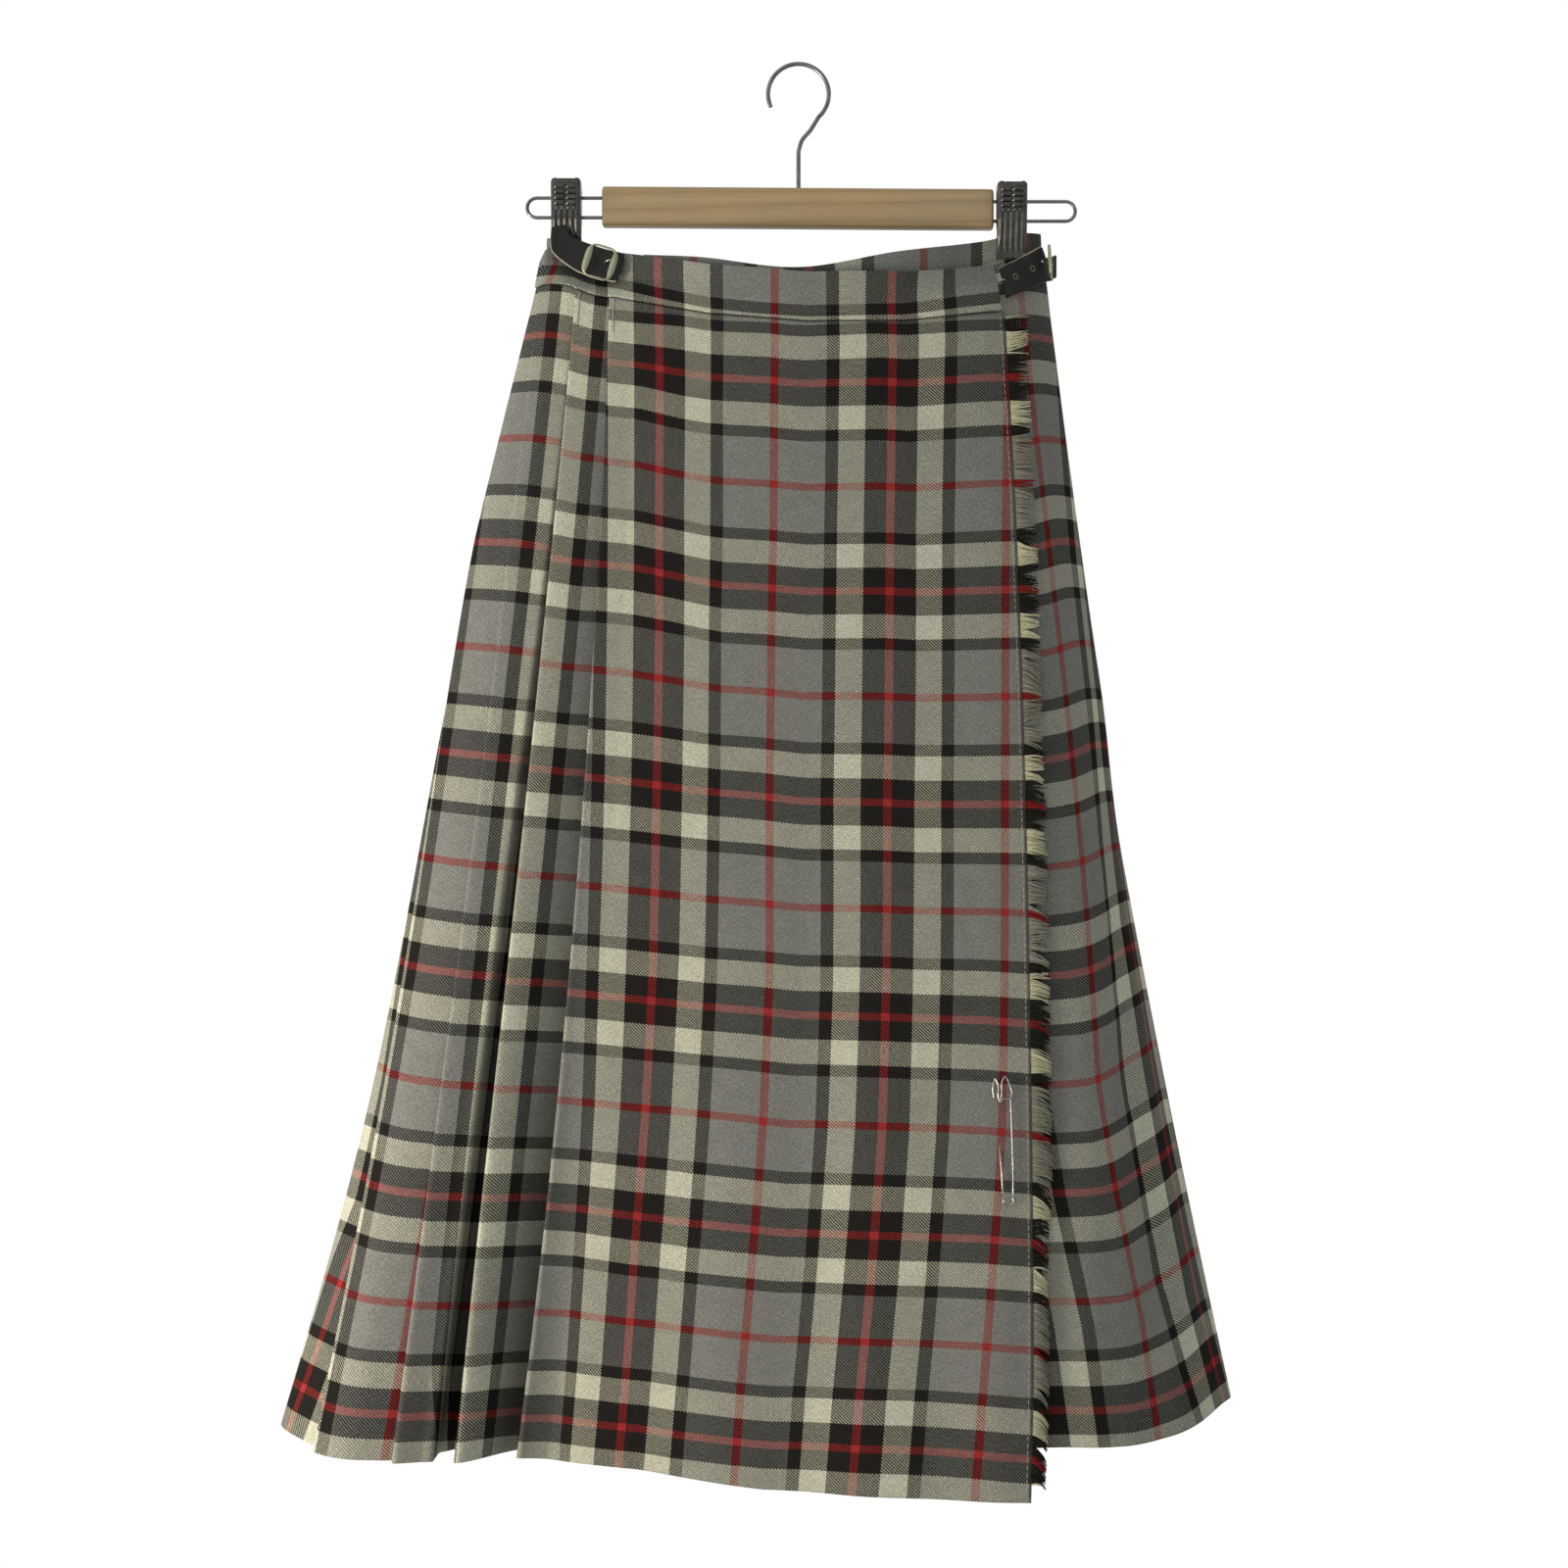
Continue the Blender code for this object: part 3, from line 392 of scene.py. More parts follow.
class Finish(Nodes):
    """A material: its Principled shader, and ways to link what the tree makes to it."""

    def __init__(self, name, roughness, metallic=0.0, **sockets):
        self.material = bpy.data.materials.new(name)
        self.material.use_nodes = True
        super().__init__(self.material.node_tree)
        self.shader = self.tree.nodes["Principled BSDF"]
        self.shader.inputs["Roughness"].default_value = roughness
        self.shader.inputs["Metallic"].default_value = metallic
        for label, value in sockets.items():
            self.shader.inputs[label.replace("_", " ")].default_value = value

    def colour(self, value):
        """Links the base colour."""
        self.tree.links.new(value, self.shader.inputs["Base Color"])

    def roughness(self, value):
        """Links the roughness."""
        self.tree.links.new(value, self.shader.inputs["Roughness"])

    def bump(self, height, distance, strength=1.0, below=None):
        """Turns a height into a bump, over another bump if one is given."""
        inputs = {"Height": height, "Distance": distance, "Strength": strength}
        if below is not None:
            inputs["Normal"] = below
        made = self.node("ShaderNodeBump", inputs).outputs[0]
        self.tree.links.new(made, self.shader.inputs["Normal"])
        return made

    def uv(self, name):
        """The place on a UV map."""
        return self.node("ShaderNodeUVMap", uv_map=name).outputs[0]

    def object_place(self):
        """The place in the object's own metres."""
        return self.node("ShaderNodeTexCoord").outputs["Object"]


def grey(value):
    """A colour of three equal channels."""
    return (value, value, value)


def sett_stops(fade=None):
    """Where each stripe of the sett starts, as a share of the repeat, with its yarn's colour; a share by
    which a colour has faded may be given for each."""
    starts = np.concatenate([[0.0], np.cumsum([count for _, count in SETT])[:-1]]) / REPEAT
    return [(float(start), tuple(channel * (fade or {}).get(name, 1.0) for channel in YARN[name]))
            for start, (name, _) in zip(starts, SETT)]


print("the stripes start at:", [round(start, 3) for start, _ in sett_stops()])

# %% [markdown]
# The cloth's finish weaves first and ages afterwards: the weave, the shade that a dark yarn casts on a pale
# one, the heathering along each yarn, faint patches from wear, and lint on the black.  Two bumps follow,
# the rounded floats of the yarns and the slow unevenness of a nap.  Wool has next to no gloss, so its
# specular level is low.

# %% Wool tartan
def tartan():
    """Warp and weft colours from the sett, woven 2/2, with heathered yarns and a soft nap."""
    wool = Finish("wool_tartan", 0.95, Specular_IOR_Level=0.02)
    threads = wool.uv("threads")
    split = wool.node("ShaderNodeSeparateXYZ", {0: threads})
    u, v = split.outputs[0], split.outputs[1]
    warp = wool.ramp(wool.math("FRACT", wool.math("DIVIDE", u, REPEAT)), sett_stops(), "CONSTANT")
    weft = wool.ramp(wool.math("FRACT", wool.math("DIVIDE", v, REPEAT)), sett_stops(), "CONSTANT")
    step = wool.math("SUBTRACT", wool.math("FLOOR", u), wool.math("FLOOR", v))
    over = wool.math("LESS_THAN", wool.math("FLOORED_MODULO", step, 4.0), 2.0)
    woven = wool.mix(over, weft, warp)
    # where a pale and a dark yarn cross, the dark one shades the pale one: less light the more they differ
    tone_u, tone_v = (wool.node("ShaderNodeRGBToBW", {0: yarn}).outputs[0] for yarn in (warp, weft))
    apart = wool.math("DIVIDE", wool.math("ABSOLUTE", wool.math("SUBTRACT", tone_u, tone_v)),
                      wool.math("ADD", tone_u, tone_v))
    shade = wool.math("SUBTRACT", 1.0, wool.math("MULTIPLY", apart, 0.38))
    woven = wool.mix(1.0, woven, shade, "MULTIPLY")
    # heathering: short pale and dark fibres along each yarn, strongest in the grey
    along_warp = wool.noise(threads, 0.9, 2.0, 0.6, (1.0, 0.28, 1.0))
    along_weft = wool.noise(threads, 0.9, 2.0, 0.6, (0.28, 1.0, 1.0))
    fleck = wool.mix(over, along_weft, along_warp)
    fleck = wool.ramp(fleck, [(0.30, grey(0.42)), (0.5, grey(0.98)), (0.70, grey(1.75))])
    woven = wool.mix(0.75, woven, fleck, "MULTIPLY")
    patch = wool.ramp(wool.noise(threads, 0.05, 3.0, 0.6), [(0.3, grey(0.93)), (0.7, grey(1.06))])
    woven = wool.mix(1.0, woven, patch, "MULTIPLY")
    # a black yarn is hairy: a little grey lint on it
    lint = wool.ramp(wool.noise(threads, 1.7, 1.0), [(0.60, grey(0.0)), (0.8, grey(0.012))])
    woven = wool.mix(1.0, woven, lint, "ADD")
    wool.colour(woven)
    # each float is a small rounded ridge
    ridge_u = wool.math("ABSOLUTE", wool.math("SUBTRACT", wool.math("FRACT", u), 0.5))
    ridge_v = wool.math("ABSOLUTE", wool.math("SUBTRACT", wool.math("FRACT", v), 0.5))
    round_yarn = wool.node("ShaderNodeMix", {"Factor": over, 2: ridge_v, 3: ridge_u},
                           data_type="FLOAT").outputs[0]
    weave = wool.bump(wool.math("MULTIPLY", round_yarn, -1.0), 0.00022, 0.5)
    place = wool.object_place()
    wool.bump(wool.noise(place, 55.0, 3.0, 0.55), 0.0012, 0.35, below=weave)
    return wool.material


wool_tartan = tartan()
print("stripes in the sett:", len(SETT))

# %% [markdown]
# ## Cloth made from rows
#
# Each piece of cloth is a grid: rows down, columns along its path.  It could be cut and folded with
# modelling tools, but a grid that is worked out carries its thread counts with it.  The thickness comes
# from a Solidify modifier, half to each side, so the grid is the middle of the cloth just as it is in the
# solids.

# %% A grid of points becomes cloth
def surface(name, points, finish, threads=None):
    """A mesh of quads from rows and columns of points in millimetres; faces point outside the ring."""
    rows, columns = points.shape[:2]
    index = np.arange(rows * columns).reshape(rows, columns)
    quads = np.stack([index[:-1, :-1], index[:-1, 1:], index[1:, 1:], index[1:, :-1]], axis=-1).reshape(-1, 4)
    mesh = bpy.data.meshes.new(name)
    mesh.vertices.add(rows * columns)
    mesh.vertices.foreach_set("co", (points.reshape(-1, 3) * MM).astype(np.float32).ravel())
    mesh.loops.add(quads.size)
    mesh.loops.foreach_set("vertex_index", quads.astype(np.int32).ravel())
    mesh.polygons.add(len(quads))
    mesh.polygons.foreach_set("loop_start", np.arange(0, quads.size, 4, dtype=np.int32))
    mesh.polygons.foreach_set("use_smooth", np.ones(len(quads), bool))
    if threads is not None:
        layer_uv = mesh.uv_layers.new(name="threads")
        layer_uv.uv.foreach_set("vector", threads.reshape(-1, 2)[quads.ravel()].astype(np.float32).ravel())
    mesh.update(calc_edges=True)
    mesh.validate()
    mesh.materials.append(finish)
    made = bpy.data.objects.new(name, mesh)
    bpy.context.scene.collection.objects.link(made)
    return made


def thicken(piece, thickness):
    """Gives a surface its wall, half to each side."""
    wall = piece.modifiers.new("wall", "SOLIDIFY")
    wall.thickness, wall.offset = thickness * MM, 0.0
    return piece


def stand_for(piece, slot, *nodes):
    """The piece rides on the object and is shown in place of its solids; the slot is not used."""
    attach(piece, "root")
    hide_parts(*nodes)
    return piece


def cloth(name, points, threads, thickness, *nodes):
    """A dressed piece of tartan that stands for its solids."""
    print(name, "rows x columns:", points.shape[:2])
    return stand_for(thicken(surface(name, points, wool_tartan, threads), thickness), "wool_tartan", *nodes)


def rows_down(count, edge=0.0022):
    """Heights from 0 to 1 with a close row at each end, so the cut edges stay crisp."""
    return np.concatenate([[0, edge], np.linspace(0, 1, count)[1:-1], [1 - edge, 1]])


# %% [markdown]
# ## The front apron
#
# The plain end that lies on top.  It runs from its frayed edge on the right to the first fold on the left,
# turns round it and goes in under itself.  We write that as one path of (s, lift) for each height, measure
# the length along the path, and count the warp threads from a chalk mark: the red line that falls from the
# waist.  Cloth that hangs also stretches and skews a little, by a few threads, and two small tables say
# where.

# %% Counting threads along a path
def warp_count(s, lift, upto, chalk_s, chalk_thread):
    """Threads along a path of (s, lift), counted from a chalk mark on its first stretch."""
    path = np.concatenate([[0], np.cumsum(np.hypot(np.diff(s), np.diff(lift)))])
    return chalk_thread - (path - np.interp(chalk_s, s[:upto], path[:upto])) / WARP


def half_round(centre_s, centre_lift, radius, turn, count):
    """The points of a half circle: turn 1 goes round a ridge, -1 round the hidden inner bend."""
    angle = np.linspace(90, -90, count + 2)[1:-1] * pi / 180
    return centre_s + turn * radius * np.cos(angle), centre_lift + turn * radius * np.sin(angle)


EASE_AT = [0.0, 0.08, 0.18, 0.30, 0.45, 0.75, 0.90, 1.0]        # share from the fold to the fringe
EASE_DOWN = {                 # height: threads by which the rows ride up (more) or hang down (less)
    0.02: (0, 0, 0, -5, -9, -7, -5, -4), 0.08: (9, 9, 0, -5, -9, -10, -7, -5),
    0.27: (11, 11, 5, -5, -7, -9, -10, -9), 0.42: (5, 5, 2, -2, -5, -9, -11, -11),
    0.57: (0, 0, -2, -5, -5, -7, -10, -14), 0.70: (-2, -2, -4, -5, -7, -7, -11, -17),
    0.82: (0, 0, -5, -8, -7, -6, -7, -12), 0.92: (2, 4, 1, -1, -1, 4, 1, -4), 1.0: (5, 6, 4, 2, 5, 7, 5, 0)}
EASE_ACROSS = {               # height: threads by which the stripes lean towards the fold
    0.02: (0, 0, 0, 0, 0, -1, 0, 0), 0.08: (0, 0, 0, 2, 2, 2, 4, 4), 0.18: (0, 0, 2, 2, 4, 6, 8, 9),
    0.27: (0, 0, 0, 4, 6, 7, 9, 11), 0.42: (0, -1, 0, 2, 6, 8, 10, 11), 0.57: (0, 0, -2, 0, 0, 6, 8, 10),
    0.70: (0, -2, 0, 2, 1, 5, 9, 10), 0.82: (0, 0, 4, 6, 6, 10, 15, 18), 0.92: (0, 0, 4, 8, 10, 16, 19, 21),
    1.0: (0, 0, 5, 9, 10, 18, 21, 22)}


def ease(table_of, height, share):
    """Between two rows of the table the threads drift evenly."""
    rows = np.array([np.interp(share, EASE_AT, row) for row in table_of.values()])
    heights = np.array(list(table_of))
    after = int(np.clip(np.searchsorted(heights, height), 1, len(heights) - 1))
    part = np.clip((height - heights[after - 1]) / (heights[after] - heights[after - 1]), 0, 1)
    return rows[after - 1] * (1 - part) + rows[after] * part


def weft_on_apron(height, s):
    """Weft threads down the apron: it was cut a little off the thread, so its rows dip in the middle."""
    share = apron_share(height, s)
    seam = np.interp(share, [0.0, 0.08, 0.40, 0.68, 0.93, 1.0], [45.0, 47.8, 63.0, 66.3, 57.5, 54.0])
    hem = np.interp(share, [0.08, 0.40, 0.68, 0.93], [1554.4, 1559.1, 1560.6, 1561.3])
    return seam + (hem - seam) * height + ease(EASE_DOWN, height, share)


print("a quarter of the way down the rows ride up by", ease(EASE_DOWN, 0.27, np.array([0.0])), "threads")


# %% Front apron
RED_LINE = (99.5, 93.0, 97.5)      # s of the red line down the apron, at the seam, half-way and the hem


def apron_lift(height, s):
    """Two layers out, rising by one more over the first pleat to the apron's own fold."""
    turns = np.interp(s, fold_line(height, np.array([-UNDERFOLD, 0])), [0, 1])
    return layer(height) * (2 + turns)


def front_apron():
    """At each height: the face from the fringe to the fold, half a circle round it, and back under it."""
    rows, threads = [], []
    for height in rows_down(150):
        gap, fold = layer(height), mark("apron fold", height)
        start = fold_line(height, -UNDERFOLD)
        face = np.concatenate([np.linspace(mark("fringed edge", height), start, 125),
                               np.linspace(start, fold, 20)[1:]])
        ridge_s, ridge_lift = half_round(fold, 2.5 * gap, gap / 2, 1, 5)
        back = np.linspace(fold, start + 1, 12)
        s = np.concatenate([face, ridge_s, back])
        lift = np.concatenate([apron_lift(height, face), ridge_lift, np.linspace(2 * gap, gap, 12)])
        rows.append(apron_place(height, s, lift + swing(height, s)))
        u = warp_count(s, lift, len(face), blend(*RED_LINE, height), HALF)
        u = u + ease(EASE_ACROSS, height, apron_share(height, s))
        threads.append(np.stack([u, weft_on_apron(height, s)], axis=-1))
    return cloth("front_apron_cloth", np.array(rows), np.array(threads), 1.0, "front_apron")


front_apron_cloth = front_apron()

# %% [markdown]
# ## Knife pleats
#
# A knife pleat runs from its hidden start up its face to a ridge, round it, and back under its neighbour.
# Face, underfold and start share the same spacing, so the three layers stay parallel all the way down.  The
# threads are counted anew on each pleat, from a chalk line on its face, because a kilt maker folds each
# pleat to a stripe of the tartan and tapers what is hidden.

# %% Threads on a pleat
CHALK = [                     # on the first three pleats: a thread, its s at the seam, half-way and the hem
    (198.5, (146, 173, 203)), (75.5, (170, 203.5, 233)), (REPEAT, (180, 217, 267))]
CHALK_DOWN = [0, 0.38, 0.7, 0.8, 0.86, 0.93, 1.0]   # the fourth turns with the left side, so its red line has
CHALK_FOURTH = [206, 255, 279, 293, 314, 332, 351]  # more places: heights, and s at each
HIDDEN_STEP = -131.0          # threads from one hidden ridge to the next
HIDDEN_START = 105
ROWS_DOWN = 1493              # weft threads from the seam to the hem
RED_ROW = 0.139               # the height of the first red row
RIDES_AT = [0.0, 0.06, 0.30, 0.45, 0.80, 0.92, 1.0]
RIDES_UP = {"first": [-2, -5, -6, -3, 1, 4, 4], "other": [0, 7, 8, 6, -1, 4, 4]}


def weft_on_pleats(height, number):
    """Weft threads down a pleat.  The first hangs a little low under the apron, the next a little high."""
    rides_up = np.interp(height, RIDES_AT, RIDES_UP["first" if number == 1 else "other"])
    return REPEAT + (height - RED_ROW) * ROWS_DOWN + rides_up


def chalk_line(height, number):
    """s and thread of the chalk line on one pleat."""
    if number <= 3:
        thread, at = CHALK[number - 1]
        return blend(*at, height), thread
    if number == 4:
        return np.interp(height, CHALK_DOWN, CHALK_FOURTH), HALF
    middle = fold_line(height, np.array([number - 0.5]))[0]
    return middle, HIDDEN_START + HIDDEN_STEP * (number - 4)


print("the fourth pleat's red line at the hem: s and thread", chalk_line(1.0, 4))

# %% [markdown]
# Towards the hem the first two pleats swing open.  Pleat 1's face slopes back behind the apron; pleat 2's
# keeps close to the front, then falls away steeply beside pleat 1, and leaves a deep dark fold between
# them.

# %% Pleats that fall back
DROPS = {1: (14.5, 1.6), 2: (27.0, 2.2)}    # mm by which a pleat falls back at the hem, and the slope's power
DEEP_FOLD = 2
OPENING_DOWN = [0, 0.19, 0.35, 0.47, 0.58, 0.79, 0.92, 1]      # the deep fold's mouth: heights,
OPENING_WIDE = [0, 3.0, 6.4, 9.0, 11.0, 12.6, 14, 14.5]        # and its width in mm at each
SLOPE, WALL = 0.20, 0.80      # shares of the deep fold's fall: over the whole face, and down its steep wall
WALL_WIDE, WALL_START = 2.6, 1.2
RIM, RIM_OUT, RIM_WIDE = 0.06, 3.0, 4.0     # the lip that stands proud beside the mouth


def deep_fold(height, s, neighbour, ridge, slope):
    """The share fallen: a slight slope, less a bell-shaped lip, and a smooth step down into the mouth."""
    mouth = float(np.interp(height, OPENING_DOWN, OPENING_WIDE))
    rim = RIM * np.exp(-((s - neighbour - mouth - RIM_OUT) / RIM_WIDE)**2) * np.clip((ridge - s) / 6, 0, 1)
    into = np.clip((mouth + WALL_START - (s - neighbour)) / WALL_WIDE, 0, 1)
    return SLOPE * slope - rim + WALL * into * into * (3 - 2 * into)


def drop(height, number, s):
    """Between its ridge and the neighbour's, a face falls back with a power of the distance; behind the
    neighbour it comes forward again by half a cosine wave.  The layers below it fall back with it."""
    total = np.zeros_like(s)
    for fallen, (deep, power) in DROPS.items():
        if number >= fallen:
            start, neighbour, ridge = fold_line(height, fallen + np.array([-1.0 - UNDERFOLD, -1.0, 0.0]))
            shown = np.clip((ridge - s) / (ridge - neighbour), 0, 1)**power
            if fallen == DEEP_FOLD:
                shown = deep_fold(height, s, neighbour, ridge, shown)
            hidden = 0.5 - 0.5 * np.cos(np.clip((s - start) / (neighbour - start), 0, 1) * pi)
            total += deep * max(height, 0.0)**0.8 * np.where(s > neighbour, shown, hidden)
    return total


print("pleats that fall back:", list(DROPS))


# %% Knife pleats
INNER_BEND = 3                # points round the hidden bend between two pleats


def pleat_path(height, number):
    """One pleat as s and lift, and how many points its face has: the face rises over three layers, the
    ridge is half a circle, the underfold runs back one layer below the face, and a small bend joins the
    next pleat."""
    gap = layer(height)
    rise = gap / UNDERFOLD * (1 + UNDERFOLD)
    face = number + np.linspace(-1 - UNDERFOLD, 0, 31)
    face_lift = rise * np.linspace(0, 1, 31)
    under = number + np.linspace(0, -UNDERFOLD, 6)
    under_lift = np.interp(under, face, face_lift) - gap
    ridge = half_round(fold_line(height, number), rise - gap / 2, gap / 2, 1, 5)
    inner = half_round(fold_line(height, number - UNDERFOLD), gap / 2, gap / 2, -1, INNER_BEND)
    s = np.concatenate([fold_line(height, face), ridge[0], fold_line(height, under), inner[0]])
    lift = np.concatenate([face_lift, ridge[1], under_lift, inner[1][::-1]])
    return s, lift - drop(height, number, s), len(face)


SAG_FROM, SAG = 0.40, 0.83    # a face that falls back also hangs lower: from this height, by this share


def pleats(name, first, last, node):
    """A stretch of pleats joined end to end.  The first stretch passes under the apron's edge, so it takes
    the apron's own z there."""
    rows, threads = [], []
    for height in rows_down(105):
        parts = []
        for number in range(first, last + 1):
            s, lift, upto = pleat_path(height, number)
            sag = drop(height, number, s) * (height - SAG_FROM) * SAG
            v = weft_on_pleats(height, number) - sag
            parts.append((s, lift, warp_count(s, lift, upto, *chalk_line(height, number)), v))
        # the last pleat has no next one to bend to, so its inner bend is left out
        s, lift, u, v = (np.concatenate(column)[:-INNER_BEND] for column in zip(*parts))
        lift = lift + swing(height, s)
        place = apron_place(height, s, lift) if first == 1 else on_ring(height, thread_at(height, s), lift)
        rows.append(place)
        threads.append(np.stack([u, v], axis=-1))
    return cloth(name, np.array(rows), np.array(threads), 1.0, node)


pleats_left_cloth = pleats("pleats_left_cloth", 1, 4, "pleats_left")
pleats_back_left_cloth = pleats("pleats_back_left_cloth", 5, 8, "pleats_back_left")
pleats_back_right_cloth = pleats("pleats_back_right_cloth", 9, 13, "pleats_back_right")
pleats_right_cloth = pleats("pleats_right_cloth", 14, PLEATS, "pleats_right")

# %% [markdown]
# ## The under apron
#
# The other plain end.  Its own fold lies behind the right edge; from there it comes round to the front,
# where a strip of it shows past the fringe, and goes on behind the front apron.  On the strip that shows,
# the stripes are set by chalk lines that follow them down; everywhere else the threads are simply counted
# on.

# %% Threads on the under apron
UNDER_RED_ROW, UNDER_ROWS_DOWN = 0.1435, 1496       # the height of the first red row; weft threads to the hem
UNDER_CHALK = {               # heights, and s of each line there, counted back from the centre front
    "red": ([0, 0.2, 0.38, 0.5, 0.58, 0.7, 0.79, 0.9, 1.0],
            [-160.5, -181, -198, -208, -214, -222, -236, -258, -272]),
    "black": ([0, 0.38, 0.5, 0.7, 0.79, 0.87, 0.95, 1.0], [-193, -225, -228, -241, -256, -269, -290, -306]),
    "crease": ([0, 0.38, 0.5, 0.58, 0.7, 0.79, 0.9, 1.0], [-208, -238, -242, -247, -262, -277, -298, -326]),
    "half the black": ([0.4, 0.55, 0.8, 1.0], [4.5, 1.6, 1.8, 3.6])}
UNDER_THREADS = (106.5, 75.5, 60.5, 0.0)      # at the crease, the black stripe's two edges, the red line


def weft_on_under(height, s):
    """Weft threads down the under apron; towards its fold the rows climb."""
    beyond = np.clip((warp_on_under(height, s - ring_length(height)) - 10.0) / 70.0, -0.4, 1.2)
    climb = np.interp(height, [0.0, 0.5, 0.72, 0.85, 1.0], [0, 1, 9, 8, 3])
    return REPEAT + (height - UNDER_RED_ROW) * UNDER_ROWS_DOWN + beyond * climb


def warp_on_under(height, s):
    """Warp threads: even between two chalk lines, and one for each thread's width beyond the outer two."""
    red, black, crease, half = (np.interp(height, *line) for line in UNDER_CHALK.values())
    inside = np.interp(s, np.array([crease, black - half, black + half, red]), np.array(UNDER_THREADS))
    past_crease = UNDER_THREADS[0] + (crease - s) / WARP
    return np.where(s > red, (red - s) / WARP, np.where(s < crease, past_crease, inside))


print("threads at the right edge, half-way down:",
      warp_on_under(0.5, np.array([station_s("right edge", 0.5) - ring_length(0.5)])).round(1))


# %% Under apron
FRINGE_REACH = 16             # it lies close behind the front apron until past the fringe's tips


def under_apron():
    """At each height: the floor of the last pleat, a bend, back to the apron's own fold, half a circle
    round it, and the face, which sinks from three layers to none as it goes in behind the front apron."""
    rows, threads = [], []
    for height in rows_down(120):
        gap, fold, length = layer(height), under_fold(height), ring_length(height)
        floor_start = fold_line(height, PLEATS - UNDERFOLD)
        depth = 0.5 * (fold_line(height, PLEATS) - fold_line(height, PLEATS - 1))
        turn = fold + depth
        end = length + fold_line(height, -UNDERFOLD) - HIDDEN_END
        level = length + mark("fringed edge", height) - FRINGE_REACH
        floor = np.linspace(floor_start + 1, turn, 12)
        bend_s, bend_lift = half_round(turn, gap / 2, gap / 2, 1, 3)
        back = np.linspace(turn, fold, 8)
        ridge_s, ridge_lift = half_round(fold, 2.5 * gap, gap / 2, -1, 5)
        face = np.concatenate([np.linspace(fold, turn, 8), np.linspace(turn, level, 62)[1:],
                               np.linspace(level, end, 60)[1:]])
        s = np.concatenate([floor, bend_s[::-1], back, ridge_s, face])
        lift = np.concatenate([0 * floor, bend_lift[::-1], np.linspace(gap, 2 * gap, 8), ridge_lift,
                               np.interp(face, [fold, turn, level], [3 * gap, 2 * gap, 0.0])])
        u_face = warp_on_under(height, face - length)
        hidden = len(s) - len(face)
        path = np.concatenate([[0], np.cumsum(np.hypot(np.diff(s), np.diff(lift)))])
        u = np.concatenate([u_face[0] + (path[hidden] - path[:hidden]) / WARP, u_face])
        rows.append(on_ring(height, thread_at(height, s), lift + swing(height, s)))
        threads.append(np.stack([u, weft_on_under(height, s)], axis=-1))
    return cloth("under_apron_cloth", np.array(rows), np.array(threads), 1.0, "under_apron")


under_apron_cloth = under_apron()

# %% [markdown]
# ## The waistband
#
# A strip of the same cloth, folded over a stiffener and matched to the apron's checks.  It is sewn on in
# three stretches: over the apron and round the left edge, across the back, and in behind the apron.  It is
# made as the cloths are, in rows, and a Bevel modifier rounds its edges, where the cloth turns over the
# stiffener.

# %% Waistband
BAND_CHALK = ([230, 470], [99.5, 125.5])      # s at the seam, and where the red line is counted from there
BAND_FOOT = ([-147, 30, 100, 135], [10, 5, 9, 14])    # s at the seam, and weft threads the foot hangs lower
SIDE_BULGE = ([-1, -0.8, -0.5, -0.2, 0], [-7, -2, 3.5, 1.5, 0])       # the band's profile round the left edge
SIDE_REACH = 26.0             # the bulge reaches this far to either side of the edge


def band_lift(height, s, under):
    """It lies on the pleats at its foot and close to the ring at its top, where the clips press it; round
    the left edge a bell-shaped bulge is added."""
    snug = 3.0 + 1.5 * height
    if under:
        level = ring_length(0.0) + mark("fringed edge", 0.0) + 2
        return np.interp(s, [station_s("right edge", 0.0), level], [1, 0]) * snug
    fold, fringed = mark("apron fold", 0.0), mark("fringed edge", 0.0)
    from_side = np.clip((s - station_s("left edge", 0.0)) / SIDE_REACH, -1, 1)
    snug = snug + np.interp(height, *SIDE_BULGE) * (0.5 + 0.5 * np.cos(from_side * pi))
    base = np.interp(s, [fringed, fringed + 50, fold - 20, fold + 25], [6.6, 4.2, 3.8, 0.0])
    return base + np.interp(s, [fold - 20, fold + 25], [0, 1]) * snug


def band_stretch(name, start, end, under, node):
    """Rows of the ring's own threads above the seam; the warp is counted along the seam."""
    threads_along = np.linspace(*thread_at(0.0, [start, end]), 2 + int((end - start) / 2.2))
    rows, threads = [], []
    for height in np.concatenate([[-1, -0.985], np.linspace(-0.97, -0.05, 16), [-0.035, -0.02]]):
        s_seam = table(ALONG, np.zeros_like(threads_along), threads_along)
        s_here = table(ALONG, np.full_like(threads_along, height), threads_along)
        lift = band_lift(height, s_here, under)
        if name == "waistband_front_cloth":
            rows.append(apron_place(height, s_here, lift))
        else:
            rows.append(on_ring(height, threads_along, lift))
        foot = 75.5 + np.interp(s_seam, *BAND_FOOT)
        chalk = np.interp(s_seam, *BAND_CHALK) if not under else ring_length(0.0) - 7.0
        threads.append(np.stack([HALF + (chalk - s_seam) / WARP, foot + height * BAND_HEIGHT / WEFT], -1))
    piece = cloth(name, np.array(rows), np.array(threads), 2.3, node)
    rounded = piece.modifiers.new("turned edges", "BEVEL")
    rounded.width, rounded.segments, rounded.limit_method = 0.8 * MM, 2, "ANGLE"
    return piece


